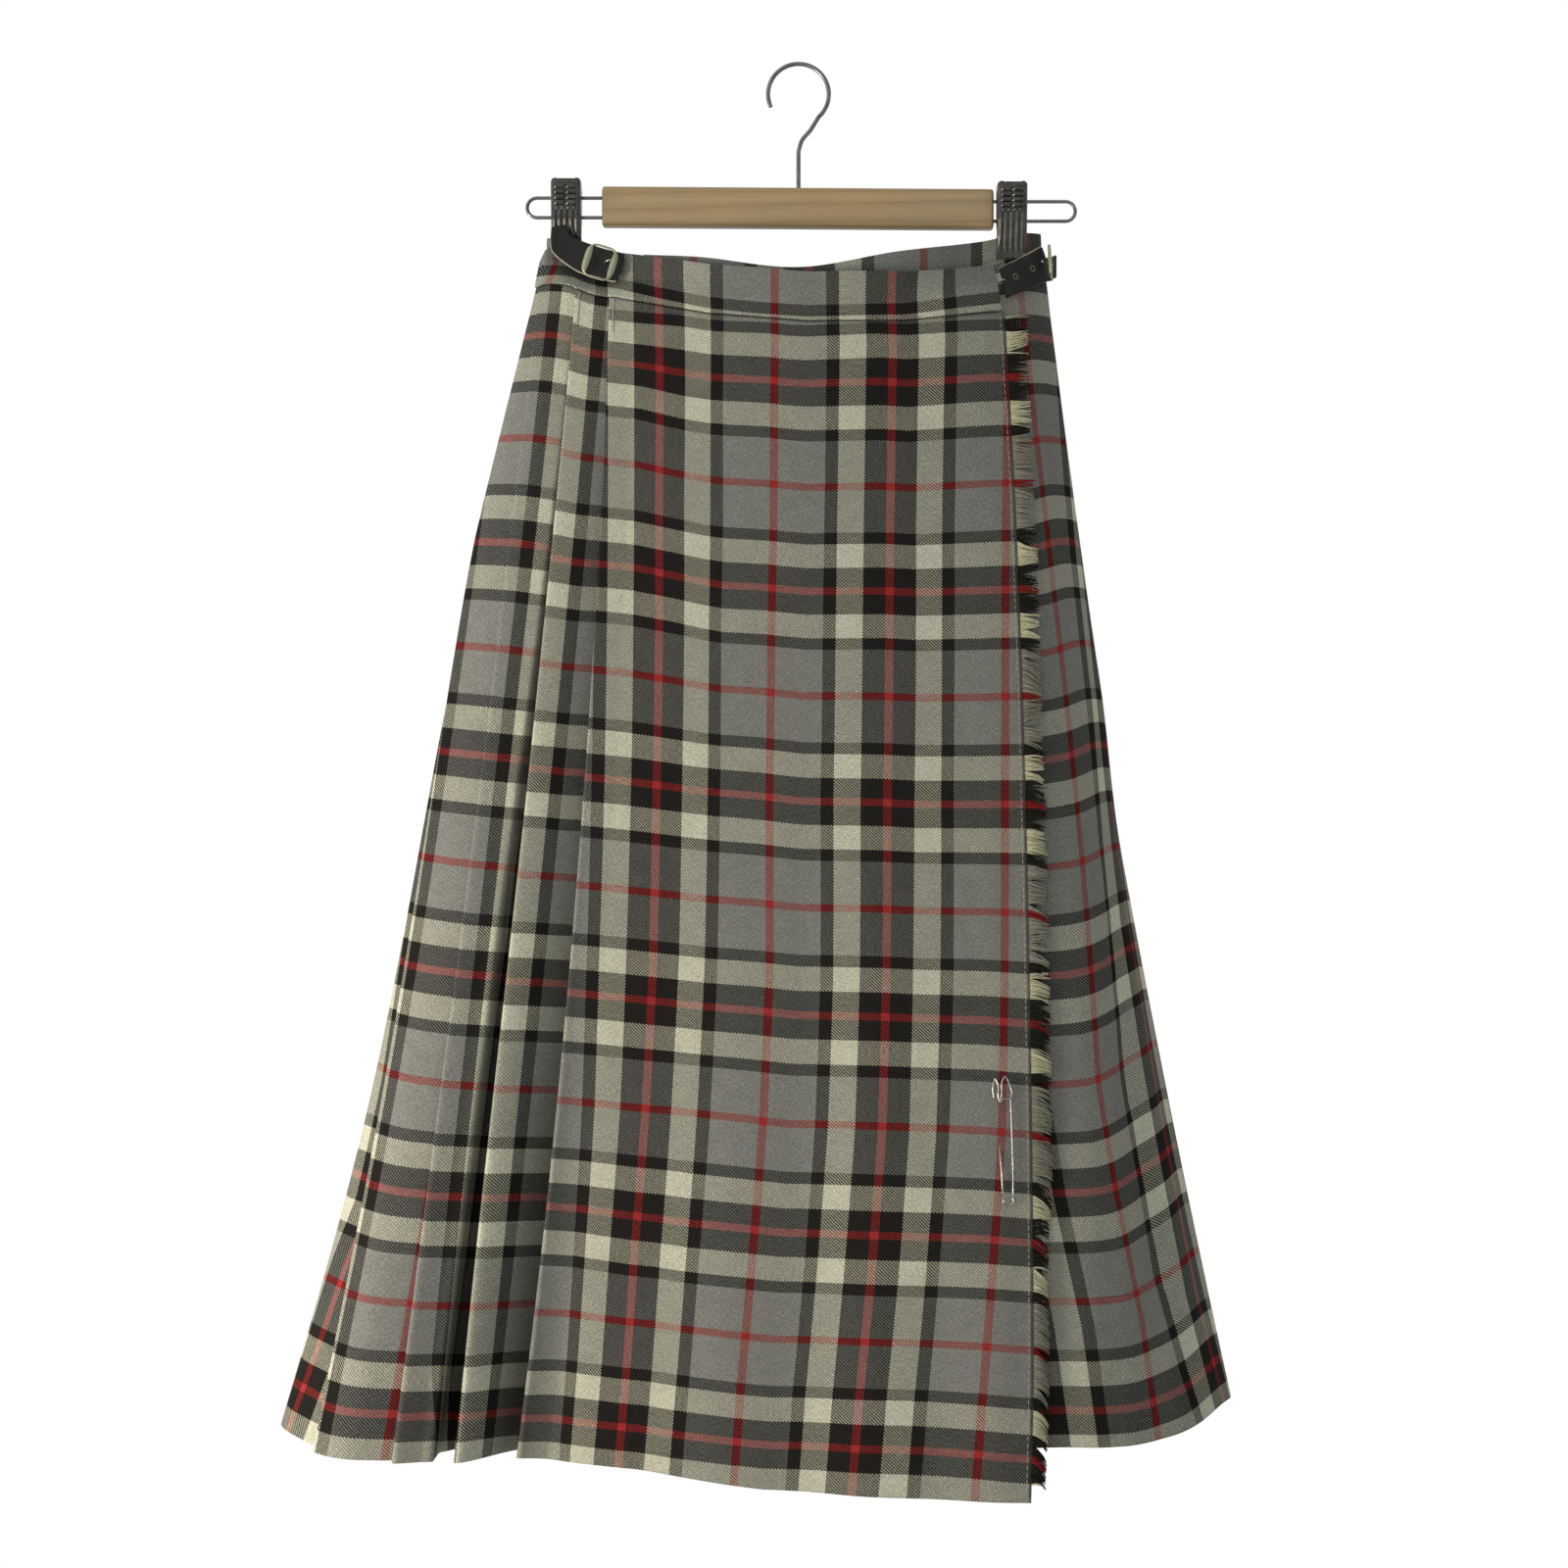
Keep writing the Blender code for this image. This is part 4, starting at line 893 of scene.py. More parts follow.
LEFT_JOIN, RIGHT_JOIN = mark("fold 3", 0.0) + 12, under_fold(0.0) - 20
INNER_END = ring_length(0.0) + float(fold_line(0.0, -UNDERFOLD)) - HIDDEN_END
SEAM = 0.15                   # half the gap where two stretches meet
band_stretch("waistband_front_cloth", mark("fringed edge", 0.0) + 3, LEFT_JOIN - SEAM, False,
             "waistband_front")
band_stretch("waistband_back_cloth", LEFT_JOIN + SEAM, RIGHT_JOIN - SEAM, False, "waistband_back")
band_stretch("waistband_under_cloth", RIGHT_JOIN + SEAM, INNER_END, True, "waistband_under")

# %% [markdown]
# ## The frayed edge
#
# The apron's right edge is not hemmed.  A line of stitches holds the cloth, and past it the warp has been
# drawn out, so the weft yarns stand free in the colours of their own rows.  They cling together in tufts,
# and lower down they hang a little.  A hair system could grow them, but mesh yarns keep their shape in any
# program that opens the model.  Every yarn is one small tapered tube, bent towards its tuft's tip; all of
# them are worked out together as one array.

# %% Free weft yarns
YARNS, YARN_POINTS, YARN_SIDES = 1250, 9, 4
YARN_LENGTH = 14.6
TUFT_SHARE = 0.075            # one yarn in about thirteen starts a new tuft
LENGTH_DOWN = ([0, 0.04, 0.5, 0.72, 0.8, 1], [1.22, 1.02, 1.0, 1.05, 0.86, 0.80])     # heights, shares of it
DROOP_DOWN = ([0, 0.03, 0.25, 0.6, 0.8, 1.0], [-4.0, -1.0, 1.5, 4.0, 7.5, 9.5])       # heights, mm at the tip
CLOSER_DOWN = ([0, 0.4, 1], [1.6, 2.2, 3.2])          # heights, mm by which a tip lies back to the cloth
THICKER_DOWN = ([0.93, 0.97], [0.50, 0.72])           # heights, radius: near the hem the yarns are coarser
ROOT_TO_TIP = 4.0             # U on a yarn runs from 0 at its root to this at its tip


def yarn_roots():
    """Where each yarn leaves the cloth: its height, its place and its weft thread."""
    height = 0.004 + 0.982 * (np.arange(YARNS) + 0.5) / YARNS
    edge = []
    for h in height:
        s = mark("fringed edge", h)
        lift = apron_lift(h, np.array([s])) + swing(h, np.array([s]))
        edge.append(apron_place(h, np.array([s + 0.6]), lift)[0])
    weft = np.array([float(weft_on_apron(h, mark("fringed edge", h))) for h in height])
    return height, np.array(edge), weft


def fringe_yarns():
    """Centre lines: a yarn leaves the edge level, leans to the middle of its tuft and droops by the square
    of the distance.  Round each line goes a square of four points, turned a little and tapering."""
    height, edge, weft = yarn_roots()
    # the tufts: each has a middle height, and its own length and lean
    tuft = np.cumsum(rng.uniform(0, 1, YARNS) < TUFT_SHARE)
    middle = np.array([edge[tuft == number, 2].mean() for number in range(tuft.max() + 1)])[tuft]
    tuft_length, tuft_lean = (rng.uniform(-1, 1, tuft.max() + 1)[tuft] for _ in range(2))
    # each yarn's own length, pull towards the tuft, droop and bow
    length = (YARN_LENGTH * (1 + 0.07 * tuft_length + 0.07 * rng.uniform(-1, 1, YARNS))
              * np.interp(height, *LENGTH_DOWN))
    gather = np.clip(rng.normal(0.42, 0.2, YARNS), -0.1, 0.95)
    droop = np.interp(height, *DROOP_DOWN) + 1.3 * tuft_lean + rng.normal(0, 0.5, YARNS)
    out = rng.uniform(-0.55, 0.95, YARNS)
    # the centre lines, t from the root to the tip
    t = np.linspace(0, 1, YARN_POINTS)[None, :]
    wave = 0.35 * np.sin(t * rng.uniform(3, 8, (YARNS, 1)) + rng.uniform(0, 6, (YARNS, 1))) * t
    x = edge[:, :1] + length[:, None] * t * (1 - 0.10 * np.abs(droop[:, None]) / 9 * t)
    z = edge[:, 2:] + (middle - edge[:, 2])[:, None] * gather[:, None] * t**1.3 - droop[:, None] * t**2 + wave
    y = (edge[:, 1:2] - out[:, None] * np.sin(pi * t) * 1.2 - 0.25 * wave
         + np.interp(height, *CLOSER_DOWN)[:, None] * t**1.5)
    line = np.stack([x, y, z], axis=-1)
    # the squares round them
    radius = (np.interp(height, *THICKER_DOWN)[:, None] * (1 - 0.55 * t**3)
              * (1 + 0.2 * rng.uniform(-1, 1, (YARNS, 1))))
    turn = rng.uniform(0, 2, (YARNS, 1, 1)) + np.arange(YARN_SIDES)[None, None, :] * 2 * pi / YARN_SIDES
    even = np.ones((1, YARN_POINTS, 1))
    ring = np.stack([0.35 * np.sin(turn) * even, np.cos(turn) * even, np.sin(turn) * even], axis=-1)
    points = line[:, :, None, :] + ring * radius[:, :, None, None]
    grid = (YARNS, YARN_POINTS, YARN_SIDES)
    threads = np.stack([np.broadcast_to(ROOT_TO_TIP * t[..., None], grid),
                        np.broadcast_to(weft[:, None, None], grid)], axis=-1)
    return points, threads


yarn_points, yarn_threads = fringe_yarns()
print("free yarns:", len(yarn_points))


# %% Tubes and the yarns' finish
def tubes(name, points, finish, threads=None, cyclic=False):
    """Many tubes as one mesh: points are (tube, along, around, 3).  Ends are closed unless it is a loop."""
    count, along, sides, _ = points.shape
    index = np.arange(count * along * sides).reshape(count, along, sides)
    wrap = np.concatenate([index, index[:, :, :1]], axis=2)
    if cyclic:
        wrap = np.concatenate([wrap, wrap[:, :1]], axis=1)
    corners = (wrap[:, :-1, :-1], wrap[:, 1:, :-1], wrap[:, 1:, 1:], wrap[:, :-1, 1:])
    faces = np.stack(corners, -1).reshape(-1, 4).tolist()
    if not cyclic:
        faces += index[:, 0, :].tolist() + index[:, -1, ::-1].tolist()
    mesh = bpy.data.meshes.new(name)
    mesh.from_pydata((points.reshape(-1, 3) * MM).tolist(), [], faces)
    work = bmesh.new()
    work.from_mesh(mesh)
    bmesh.ops.recalc_face_normals(work, faces=work.faces[:])
    work.to_mesh(mesh)
    work.free()
    mesh.polygons.foreach_set("use_smooth", np.ones(len(mesh.polygons), bool))
    if threads is not None:
        made_uv = mesh.uv_layers.new(name="threads")
        corner = np.empty(len(mesh.loops), np.int32)
        mesh.loops.foreach_get("vertex_index", corner)
        made_uv.uv.foreach_set("vector", threads.reshape(-1, 2)[corner].astype(np.float32).ravel())
    mesh.materials.append(finish)
    made = bpy.data.objects.new(name, mesh)
    bpy.context.scene.collection.objects.link(made)
    return made


FADE = {"red": 0.55, "cream": 0.9, "grey": 1.08, "black": 1.08}       # a single yarn against the woven cloth


def free_yarn():
    """The colour of the yarn's own weft row, warmer in tone and lifted by painted light, darker at the root,
    with fine fibres along it.
    """
    yarn = Finish("free_wool_yarn", 0.95, Specular_IOR_Level=0.03)
    split = yarn.node("ShaderNodeSeparateXYZ", {0: yarn.uv("threads")})
    from_root, weft = split.outputs[0], split.outputs[1]
    row = yarn.ramp(yarn.math("FRACT", yarn.math("DIVIDE", weft, REPEAT)), sett_stops(FADE), "CONSTANT")
    fibres = yarn.ramp(yarn.noise(yarn.object_place(), 1400.0, 2.0), [(0.3, grey(0.75)), (0.7, grey(1.35))])
    root = yarn.ramp(yarn.math("DIVIDE", from_root, ROOT_TO_TIP), [(0.0, grey(0.75)), (0.10, grey(1.05))])
    # warmer than the woven rows, which is the free yarn's own tone, and lighter, which is painted light that
    # lifts the tufts out of the shade they hang in
    warm_tone_and_painted_light = yarn.mix(1.0, row, (1.16, 1.11, 0.94, 1.0), "MULTIPLY")
    yarn.colour(yarn.mix(1.0, yarn.mix(1.0, warm_tone_and_painted_light, fibres, "MULTIPLY"), root, "MULTIPLY"))
    return yarn.material


fringe = tubes("fringe_yarns", yarn_points, free_yarn(), yarn_threads)
stand_for(fringe, "wool_tartan", "apron_fringe")
print("faces in the fringe:", len(fringe.data.polygons))

# %% [markdown]
# ## Stitches
#
# Two rows show: a dark zigzag with a pale straight line beside it holds the frayed edge, and short pale
# stitches close the edges of the apron's fold and the first pleat just below the waist.  A stitch is a
# short thread that dips into the cloth at both ends.  Drawn as a bump it would vanish at the edge, so each
# is a tube.

# %% Rows of stitches
def through(points, count):
    """A smooth line through the points: cubic spans with the slopes of the neighbouring chords."""
    points = np.asarray(points, float)
    knot = np.concatenate([[0], np.cumsum(np.linalg.norm(np.diff(points, axis=0), axis=1))])
    slope = np.gradient(points, knot, axis=0)
    where = np.linspace(0, knot[-1], count)
    i = np.clip(np.searchsorted(knot, where, side="right") - 1, 0, len(knot) - 2)
    span = (knot[i + 1] - knot[i])[:, None]
    t = ((where - knot[i])[:, None]) / span
    return (points[i] * (2 * t**3 - 3 * t**2 + 1) + slope[i] * span * (t**3 - 2 * t**2 + t)
            + points[i + 1] * (3 * t**2 - 2 * t**3) + slope[i + 1] * span * (t**3 - t**2))


def stitches(name, starts, ends, radius, rise, finish):
    """Short threads from starts to ends; the middle of each stands off the cloth by the rise."""
    starts, ends = np.asarray(starts), np.asarray(ends)
    t = np.linspace(0, 1, 5)[None, :, None]
    line = starts[:, None] * (1 - t) + ends[:, None] * t
    line = line + np.array([0, -1.0, 0]) * (rise * np.sin(pi * t) - 0.15)
    angle = np.arange(4) * pi / 2
    along = (ends - starts) / np.linalg.norm(ends - starts, axis=1)[:, None]
    side = np.cross(along, np.array([0, 1.0, 0]))
    side /= np.linalg.norm(side, axis=1)[:, None]
    ring = side[:, None, None, :] * np.cos(angle)[None, None, :, None] \
        + np.array([0, 1.0, 0]) * np.sin(angle)[None, None, :, None]
    return tubes(name, line[:, :, None, :] + radius * ring, finish)


print("a stitch has", 5 * 4, "corners")


# %% Sewing threads along the cloth
def thread_finish(name, colour):
    """A twisted thread: fine noise between a darker and a paler tone of its colour."""
    made = Finish(name, 0.6, Specular_IOR_Level=0.3)
    twist = made.noise(made.object_place(), 2600.0, 1.0)
    dark, pale = (tuple(channel * share for channel in colour) for share in (0.7, 1.2))
    made.colour(made.ramp(twist, [(0.35, dark), (0.65, pale)]))
    return made.material


dark_thread = thread_finish("dark_sewing_thread", (0.022, 0.02, 0.022))
pale_thread = thread_finish("pale_sewing_thread", (0.42, 0.40, 0.33))


def on_apron(height, s, off):
    """Places on the front of the apron's cloth, off it by a distance."""
    s = np.atleast_1d(np.asarray(s, float))
    return apron_place(height, s, apron_lift(height, s) + swing(height, s) + 0.5 + off)


def beside_edge(steps, inwards, off):
    """Places along the frayed edge, so far in from it and so far off the cloth."""
    return np.array([on_apron(h, mark("fringed edge", h) + inwards, off)[0] for h in steps])


def edge_stitches():
    """The zigzag goes from an inner place to the next outer one; the straight line takes four fifths of
    each step and dips for the fifth."""
    steps = np.linspace(0.004, 0.996, 340)
    inner, outer = beside_edge(steps, 1.5, 0.15), beside_edge(steps, 0.2, 0.15)
    pale = beside_edge(steps[::2], 3.0, 0.0)
    return (stitches("edge_zigzag", inner[:-1], outer[1:], 0.30, 0.2, dark_thread),
            stitches("edge_line", pale[:-1], pale[:-1] * 0.2 + pale[1:] * 0.8, 0.17, 0.2, pale_thread))


def pleat_top_stitches():
    """Five stitches down from the seam, beside the ridges of the apron's fold and of the first pleat."""
    tops = []
    for number in (0, 1):
        for h in np.linspace(0.001, 0.030, 6):
            s = fold_line(h, np.array([number]))[0] - 2.2
            rise = 3 * layer(h) + swing(h, np.array([s])) + 0.5 + 0.2
            tops.append(apron_place(h, np.array([s]), rise)[0])
    tops = np.array(tops).reshape(2, -1, 3)
    return stitches("pleat_top_stitches", tops[:, :-1].reshape(-1, 3), tops[:, 1:].reshape(-1, 3), 0.3, 0.1,
                    pale_thread)


for piece in (*edge_stitches(), pleat_top_stitches()):
    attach(piece, "root")
    print(piece.name, "faces:", len(piece.data.polygons))

# %% [markdown]
# ## Leather straps
#
# Black leather with its pale cut edge left raw.  Each is a band of leather bent along a line; the modifier
# gives it thickness, a bevel softens it, and the UV map carries the distance across so that the raw edge
# and the punched holes can be drawn where they belong.  The holes could be cut through the mesh, but at
# this size a pit sunk by the bump, painted near-black as painted shade and ringed by a worn rim, looks the
# same and keeps the band a clean grid.

# %% Leather
STRAP_WIDTH = 18.0
HOLE, WORN_RIM = 1.25, 1.75   # radii, mm


def strap_leather(holes, raw_edge="none"):
    """Black hide with pores and creases; pale where an edge is cut raw and round each punched hole, with
    near-black painted shade inside the hole.
    """
    hide = Finish("strap_leather", 0.5, Specular_IOR_Level=0.22)
    place = hide.object_place()
    split = hide.node("ShaderNodeSeparateXYZ", {0: hide.uv("threads")})
    along, across = split.outputs[0], split.outputs[1]
    pores = hide.noise(place, 900.0, 3.0, 0.6)
    crease = hide.noise(place, 160.0, 4.0, 0.65)
    black = hide.ramp(crease, [(0.25, (0.006, 0.006, 0.0055)), (0.75, (0.015, 0.0145, 0.013))])
    from_edge = across if raw_edge == "low" else hide.math("SUBTRACT", STRAP_WIDTH, across)
    raw = hide.math("LESS_THAN", from_edge, hide.math("MULTIPLY_ADD", crease, 0.9, 0.15))
    cut = hide.ramp(pores, [(0.3, (0.20, 0.19, 0.13)), (0.7, (0.36, 0.35, 0.26))])
    colour = hide.mix(raw, black, cut) if raw_edge != "none" else black
    pit = None
    for spot in holes:
        beside = hide.math("POWER", hide.math("SUBTRACT", along, spot), 2.0)
        above = hide.math("POWER", hide.math("SUBTRACT", across, STRAP_WIDTH / 2), 2.0)
        away = hide.math("SQRT", hide.math("ADD", beside, above))
        hole = hide.math("LESS_THAN", away, HOLE)
        rim = hide.math("LESS_THAN", away, WORN_RIM)
        colour = hide.mix(hide.math("MULTIPLY", rim, 0.5), colour, cut)
        # inside the hole the colour is near-black: painted shade for the dark inside of the punched hole
        colour = hide.mix(hole, colour, (0.004, 0.004, 0.004, 1))
        pit = hole if pit is None else hide.math("MAXIMUM", pit, hole)
    hide.colour(colour)
    hide.roughness(hide.ramp(pores, [(0.3, grey(0.38)), (0.7, grey(0.6))]))
    relief = hide.math("ADD", hide.math("MULTIPLY", pores, 0.35), crease)
    if pit is not None:
        relief = hide.math("SUBTRACT", relief, hide.math("MULTIPLY", pit, 3.0))
    hide.bump(relief, 0.00035, 0.6)
    return hide.material


print("strap width, mm:", STRAP_WIDTH)

# %% Strap lines
LEFT_STRAP = [                # the lower and the upper edge, from the buckle to the free end
    (-131.0, -23.3, -161.5, -124.5, -22.5, -140.5), (-137.2, -21.4, -159.8, -130.5, -20.6, -138.8),
    (-146.5, -18.9, -156.8, -139.5, -18.4, -136.2), (-156.8, -17.2, -153.4, -148.4, -16.8, -133.0),
    (-168.8, -16.2, -145.7, -158.3, -16.0, -128.8), (-177.0, -15.9, -137.9, -165.3, -15.9, -123.6),
    (-178.0, -15.9, -120.4, -167.4, -15.9, -118.7)]
RIGHT_STRAP = [               # share of its length, z of its lower and upper edge, lift
    (0.00, -172.5, -149.0, 4.0), (0.35, -166.5, -143.5, 5.8), (0.70, -160.5, -137.5, 7.0),
    (1.00, -156.0, -131.8, 6.8)]
STRAP_ROWS = 13               # points across a strap
STRAP_END = 2.2               # its ends are drawn in over this length


def strap(name, low, up, thickness, finish, node):
    """A band between two lines, drawn in a little at both ends by a quarter circle."""
    share = np.linspace(0, 1, STRAP_ROWS)[:, None, None]
    length = np.concatenate([[0], np.cumsum(np.linalg.norm(np.diff((low + up) / 2, axis=0), axis=1))])
    to_end = np.minimum(length, length[-1] - length)
    keep = np.sqrt(np.clip(1 - (1 - np.clip(to_end / STRAP_END, 0, 1))**2, 0.0, 1))
    keep = (0.92 + 0.08 * keep)[None, :, None]
    middle = (low + up)[None] / 2
    points = middle + (up[None] - middle) * keep * (1 - 2 * share)
    grid = (STRAP_ROWS, len(length))
    uv = np.stack([np.broadcast_to(length, grid), np.broadcast_to(STRAP_WIDTH * (1 - share[:, :, 0]), grid)],
                  axis=-1)
    made = thicken(surface(name, points, finish, uv), thickness)
    soft = made.modifiers.new("softened edges", "BEVEL")
    soft.width, soft.segments, soft.limit_method = 0.45 * MM, 2, "ANGLE"
    return stand_for(made, "strap_leather", node)


left_low, left_up = (through(np.array(LEFT_STRAP)[:, first:first + 3], 60) for first in (0, 3))
strap_left_leather = strap("strap_left_leather", left_low, left_up, 2.0, strap_leather([], "low"),
                           "strap_left")


def right_strap_line(up):
    """The right strap's lower (0) or upper (1) edge: along the ring from the fringe to the right edge."""
    shares, z_low, z_up, lifts = np.array(RIGHT_STRAP).T
    share = np.linspace(0, 0.98, 50)
    start = ring_length(0.0) + mark("fringed edge", 0.0) - 2.0
    s = start + (station_s("right edge", 0.0) + 0.5 - start) * share
    z = np.interp(share, shares, z_low) * (1 - up) + np.interp(share, shares, z_up) * up
    return at_z(thread_at(0.0, s), z, np.interp(share, shares, lifts) + 1.6)


strap_right_leather = strap("strap_right_leather", right_strap_line(0.0), right_strap_line(1.0), 2.0,
                            strap_leather([25.5, 10.5], "up"), "strap_right")
print("straps:", [len(item.data.polygons) for item in (strap_left_leather, strap_right_leather)])

# %% [markdown]
# ## Buckles and kilt pin
#
# Plated wire and castings.  A buckle's frame is a loop whose cross-section swells along the two side bars;
# its prong comes out of the leather near the far bar.  A bevelled curve could make the wire, but a swelling
# section needs its own radius at every point, so each is a tube worked out round its line.  The plating on
# the buckles is dull with age and the pin's is bright: two metals from one recipe, in which colour and
# gloss wander.

# %% Metals
def metal(name, dark, pale, roughness, scale=90.0, bump=0.00008):
    """A metal whose colour and gloss wander a little, as handled plating does."""
    made = Finish(name, roughness, 1.0)
    place = made.object_place()
    cloud = made.noise(place, scale, 4.0, 0.6)
    made.colour(made.ramp(cloud, [(0.3, dark), (0.7, pale)]))
    gloss = made.noise(place, scale * 5, 2.0)
    made.roughness(made.ramp(gloss, [(0.3, grey(roughness * 0.7)), (0.7, grey(roughness * 1.4))]))
    made.bump(made.noise(place, scale * 9, 3.0), bump, 0.5)
    return made.material


plated = metal("buckle_chrome", (0.29, 0.29, 0.195), (0.38, 0.38, 0.265), 0.5)
bright_wire = metal("pin_chrome", (0.30, 0.29, 0.26), (0.50, 0.49, 0.45), 0.26, 90.0, 0.00002)
clip_steel = metal("clip_steel", (0.055, 0.053, 0.047), (0.105, 0.102, 0.094), 0.28, 120.0)
hanger_wire = metal("hanger_wire", (0.12, 0.12, 0.12), (0.22, 0.22, 0.22), 0.28)
print("metals:", [made.name for made in (plated, bright_wire, clip_steel, hanger_wire)])


# %% Round wire
def wire(name, line, radius, finish, sides=12):
    """A round wire: at each point of the line a circle square to it.  The circles' first direction is
    carried along the line by taking out, at each step, its part along the wire."""
    line = np.asarray(line, float)
    radius = np.broadcast_to(radius, len(line))
    along = np.gradient(line, axis=0)
    along /= np.linalg.norm(along, axis=1)[:, None]
    first = np.zeros_like(along)
    side = np.cross(along[0], [0.13, 0.91, 0.39])
    for number, direction in enumerate(along):
        side = side - direction * side.dot(direction)
        side /= np.linalg.norm(side)
        first[number] = side
    second = np.cross(along, first)
    angle = np.arange(sides) * 2 * pi / sides
    ring = first[:, None] * np.cos(angle)[None, :, None] + second[:, None] * np.sin(angle)[None, :, None]
    return tubes(name, (line[:, None] + ring * radius[:, None, None])[None], finish)


print("the circles of a wire have 12 corners, or 8 on the fine springs")

# %% Buckles
HALF_LONG, HALF_HIGH = 9.5, 11.6      # from the frame's centre to the middle of its bars
SQUARENESS = 0.42                     # 1 would give an ellipse, 0 a rectangle
THIN, SWELL = 0.80, 1.75              # half the bar's width at top and bottom, and what each side bar adds


def buckle_frame(name, centre, along, up, outward, node):
    """Loop angle t goes round a superellipse.  The section is an ellipse that swells along the two side
    bars, to 5.1 mm wide and 2.5 deep, from 1.6 by 2 at top and bottom."""
    centre, along, up, outward = (np.asarray(part, float) for part in (centre, along, up, outward))
    t = np.linspace(0, 2 * pi, 96, endpoint=False)
    a = HALF_LONG * np.sign(np.cos(t)) * np.abs(np.cos(t))**SQUARENESS
    u = HALF_HIGH * np.sign(np.sin(t)) * np.abs(np.sin(t))**SQUARENESS
    angle = np.arange(14) * 2 * pi / 14
    near_side = np.clip((np.abs(a) / HALF_LONG - 0.85) / 0.15, 0, 1)
    side_bar = near_side * np.clip(1 - (np.abs(u) / HALF_HIGH)**4, 0, 1)
    wide, deep = THIN + SWELL * side_bar, 1.0 + 0.25 * side_bar
    in_plane = np.stack([np.cos(t), np.sin(t)], axis=-1)
    offset = np.cos(angle)[None, :, None] * wide[:, None, None] * in_plane[:, None, :]
    points = (centre + (a[:, None] + offset[..., 0])[..., None] * along
              + (u[:, None] + offset[..., 1])[..., None] * up
              + (np.sin(angle)[None, :] * deep[:, None])[..., None] * outward)
    return stand_for(tubes(name, points[None], plated, cyclic=True), "buckle_chrome", node)


tilt = radians(-17)
left_along, left_upward = np.array([cos(tilt), 0, sin(tilt)]), np.array([-sin(tilt), 0, cos(tilt)])
left_centre, right_centre = np.array([-142.0, -25.8, -147.4]), np.array([183.2, -5.0, -143.7])
forward, rightward = np.array([0.0, -1.0, 0.0]), np.array([1.0, 0.0, 0.0])
buckle_frame("buckle_left_frame", left_centre, left_along, left_upward, forward, "buckle_left")
buckle_frame("buckle_right_frame", right_centre + [-1.6, -1.0, 0], (0.105, 0.994, 0), (-0.06, 0, 0.998),
             (0.994, -0.105, 0), "buckle_right")
print("buckle frames, mm:", 2 * HALF_LONG, "by", 2 * HALF_HIGH)

# %% Prongs and tabs
PRONG = [                     # along the strap and out of it, from the near bar to the tip
    (-6.4, -7.5), (-2.0, -8.0), (1.8, -7.6), (3.4, -4.0), (4.6, -0.8), (6.2, 0.5), (8.6, 0.8)]


def prong(name, centre, along, outward, node):
    """Under the leather it comes from the near bar; its tip rises out of the hole onto the far bar."""
    line = through([centre + along * a + outward * o for a, o in PRONG], 50)
    radius = np.interp(np.linspace(0, 1, 50), [0, 0.85, 1], [0.8, 0.75, 0.4])
    return stand_for(wire(name, line, radius, bright_wire), "buckle_chrome", node)


prong("buckle_left_tongue", left_centre, np.array([cos(radians(12)), 0, sin(radians(12))]), forward,
      "buckle_left_prong")
prong("buckle_right_tongue", right_centre, np.array([0.0, 1.0, 0.0]), rightward, "buckle_right_prong")


def tab(name, low, up, node):
    """The short piece of leather that sews a buckle to the band."""
    return strap(name, low, up, 1.5, strap_leather([]), node)


left_line = (left_centre + left_along * np.linspace(11.8, 16.0, 12)[:, None]
             + np.linspace(0.3, 1.0, 12)[:, None] * [0, 1, 0])
tab("buckle_left_tab_leather", left_line - left_upward * 8, left_line + left_upward * 8, "buckle_left_tab")
right_line = through([(187.0, 5.6, 0), (185.5, 11.0, 0), (181.0, 16.5, 0)], 14)
tab("buckle_right_tab_leather", right_line + [0, 0, -152.0], right_line + [0, 0, -135.5], "buckle_right_tab")
print("buckles and tabs made")

# %% [markdown]
# The kilt pin is one bent wire: back bar, coil, and the sharp leg that goes into the cloth, with a clasp
# bent from a second wire at its top.  Its points are given as a place on the apron and a distance in front
# of it, so it lies on the cloth wherever the cloth is.

# %% Kilt pin
PIN = {"x": 143.4, "top": -722.0, "bottom": -810.0}
PIN_COIL = 3.4                # radius of its coil


def front_of_apron(x, z):
    """y of the apron's front at an x and a z, found along a row of threads from the right to the centre."""
    row = at_z(np.linspace(-4.6 * STEPS, 0, 80), z, 2 * layer((z + 182) / -826) + 0.6)
    return float(np.interp(-x, -row[:, 0], row[:, 1]))


def before_apron(points):
    """Turns (x, z, distance in front) into places."""
    return [(x, front_of_apron(x, z) - off, z) for x, z, off in points]


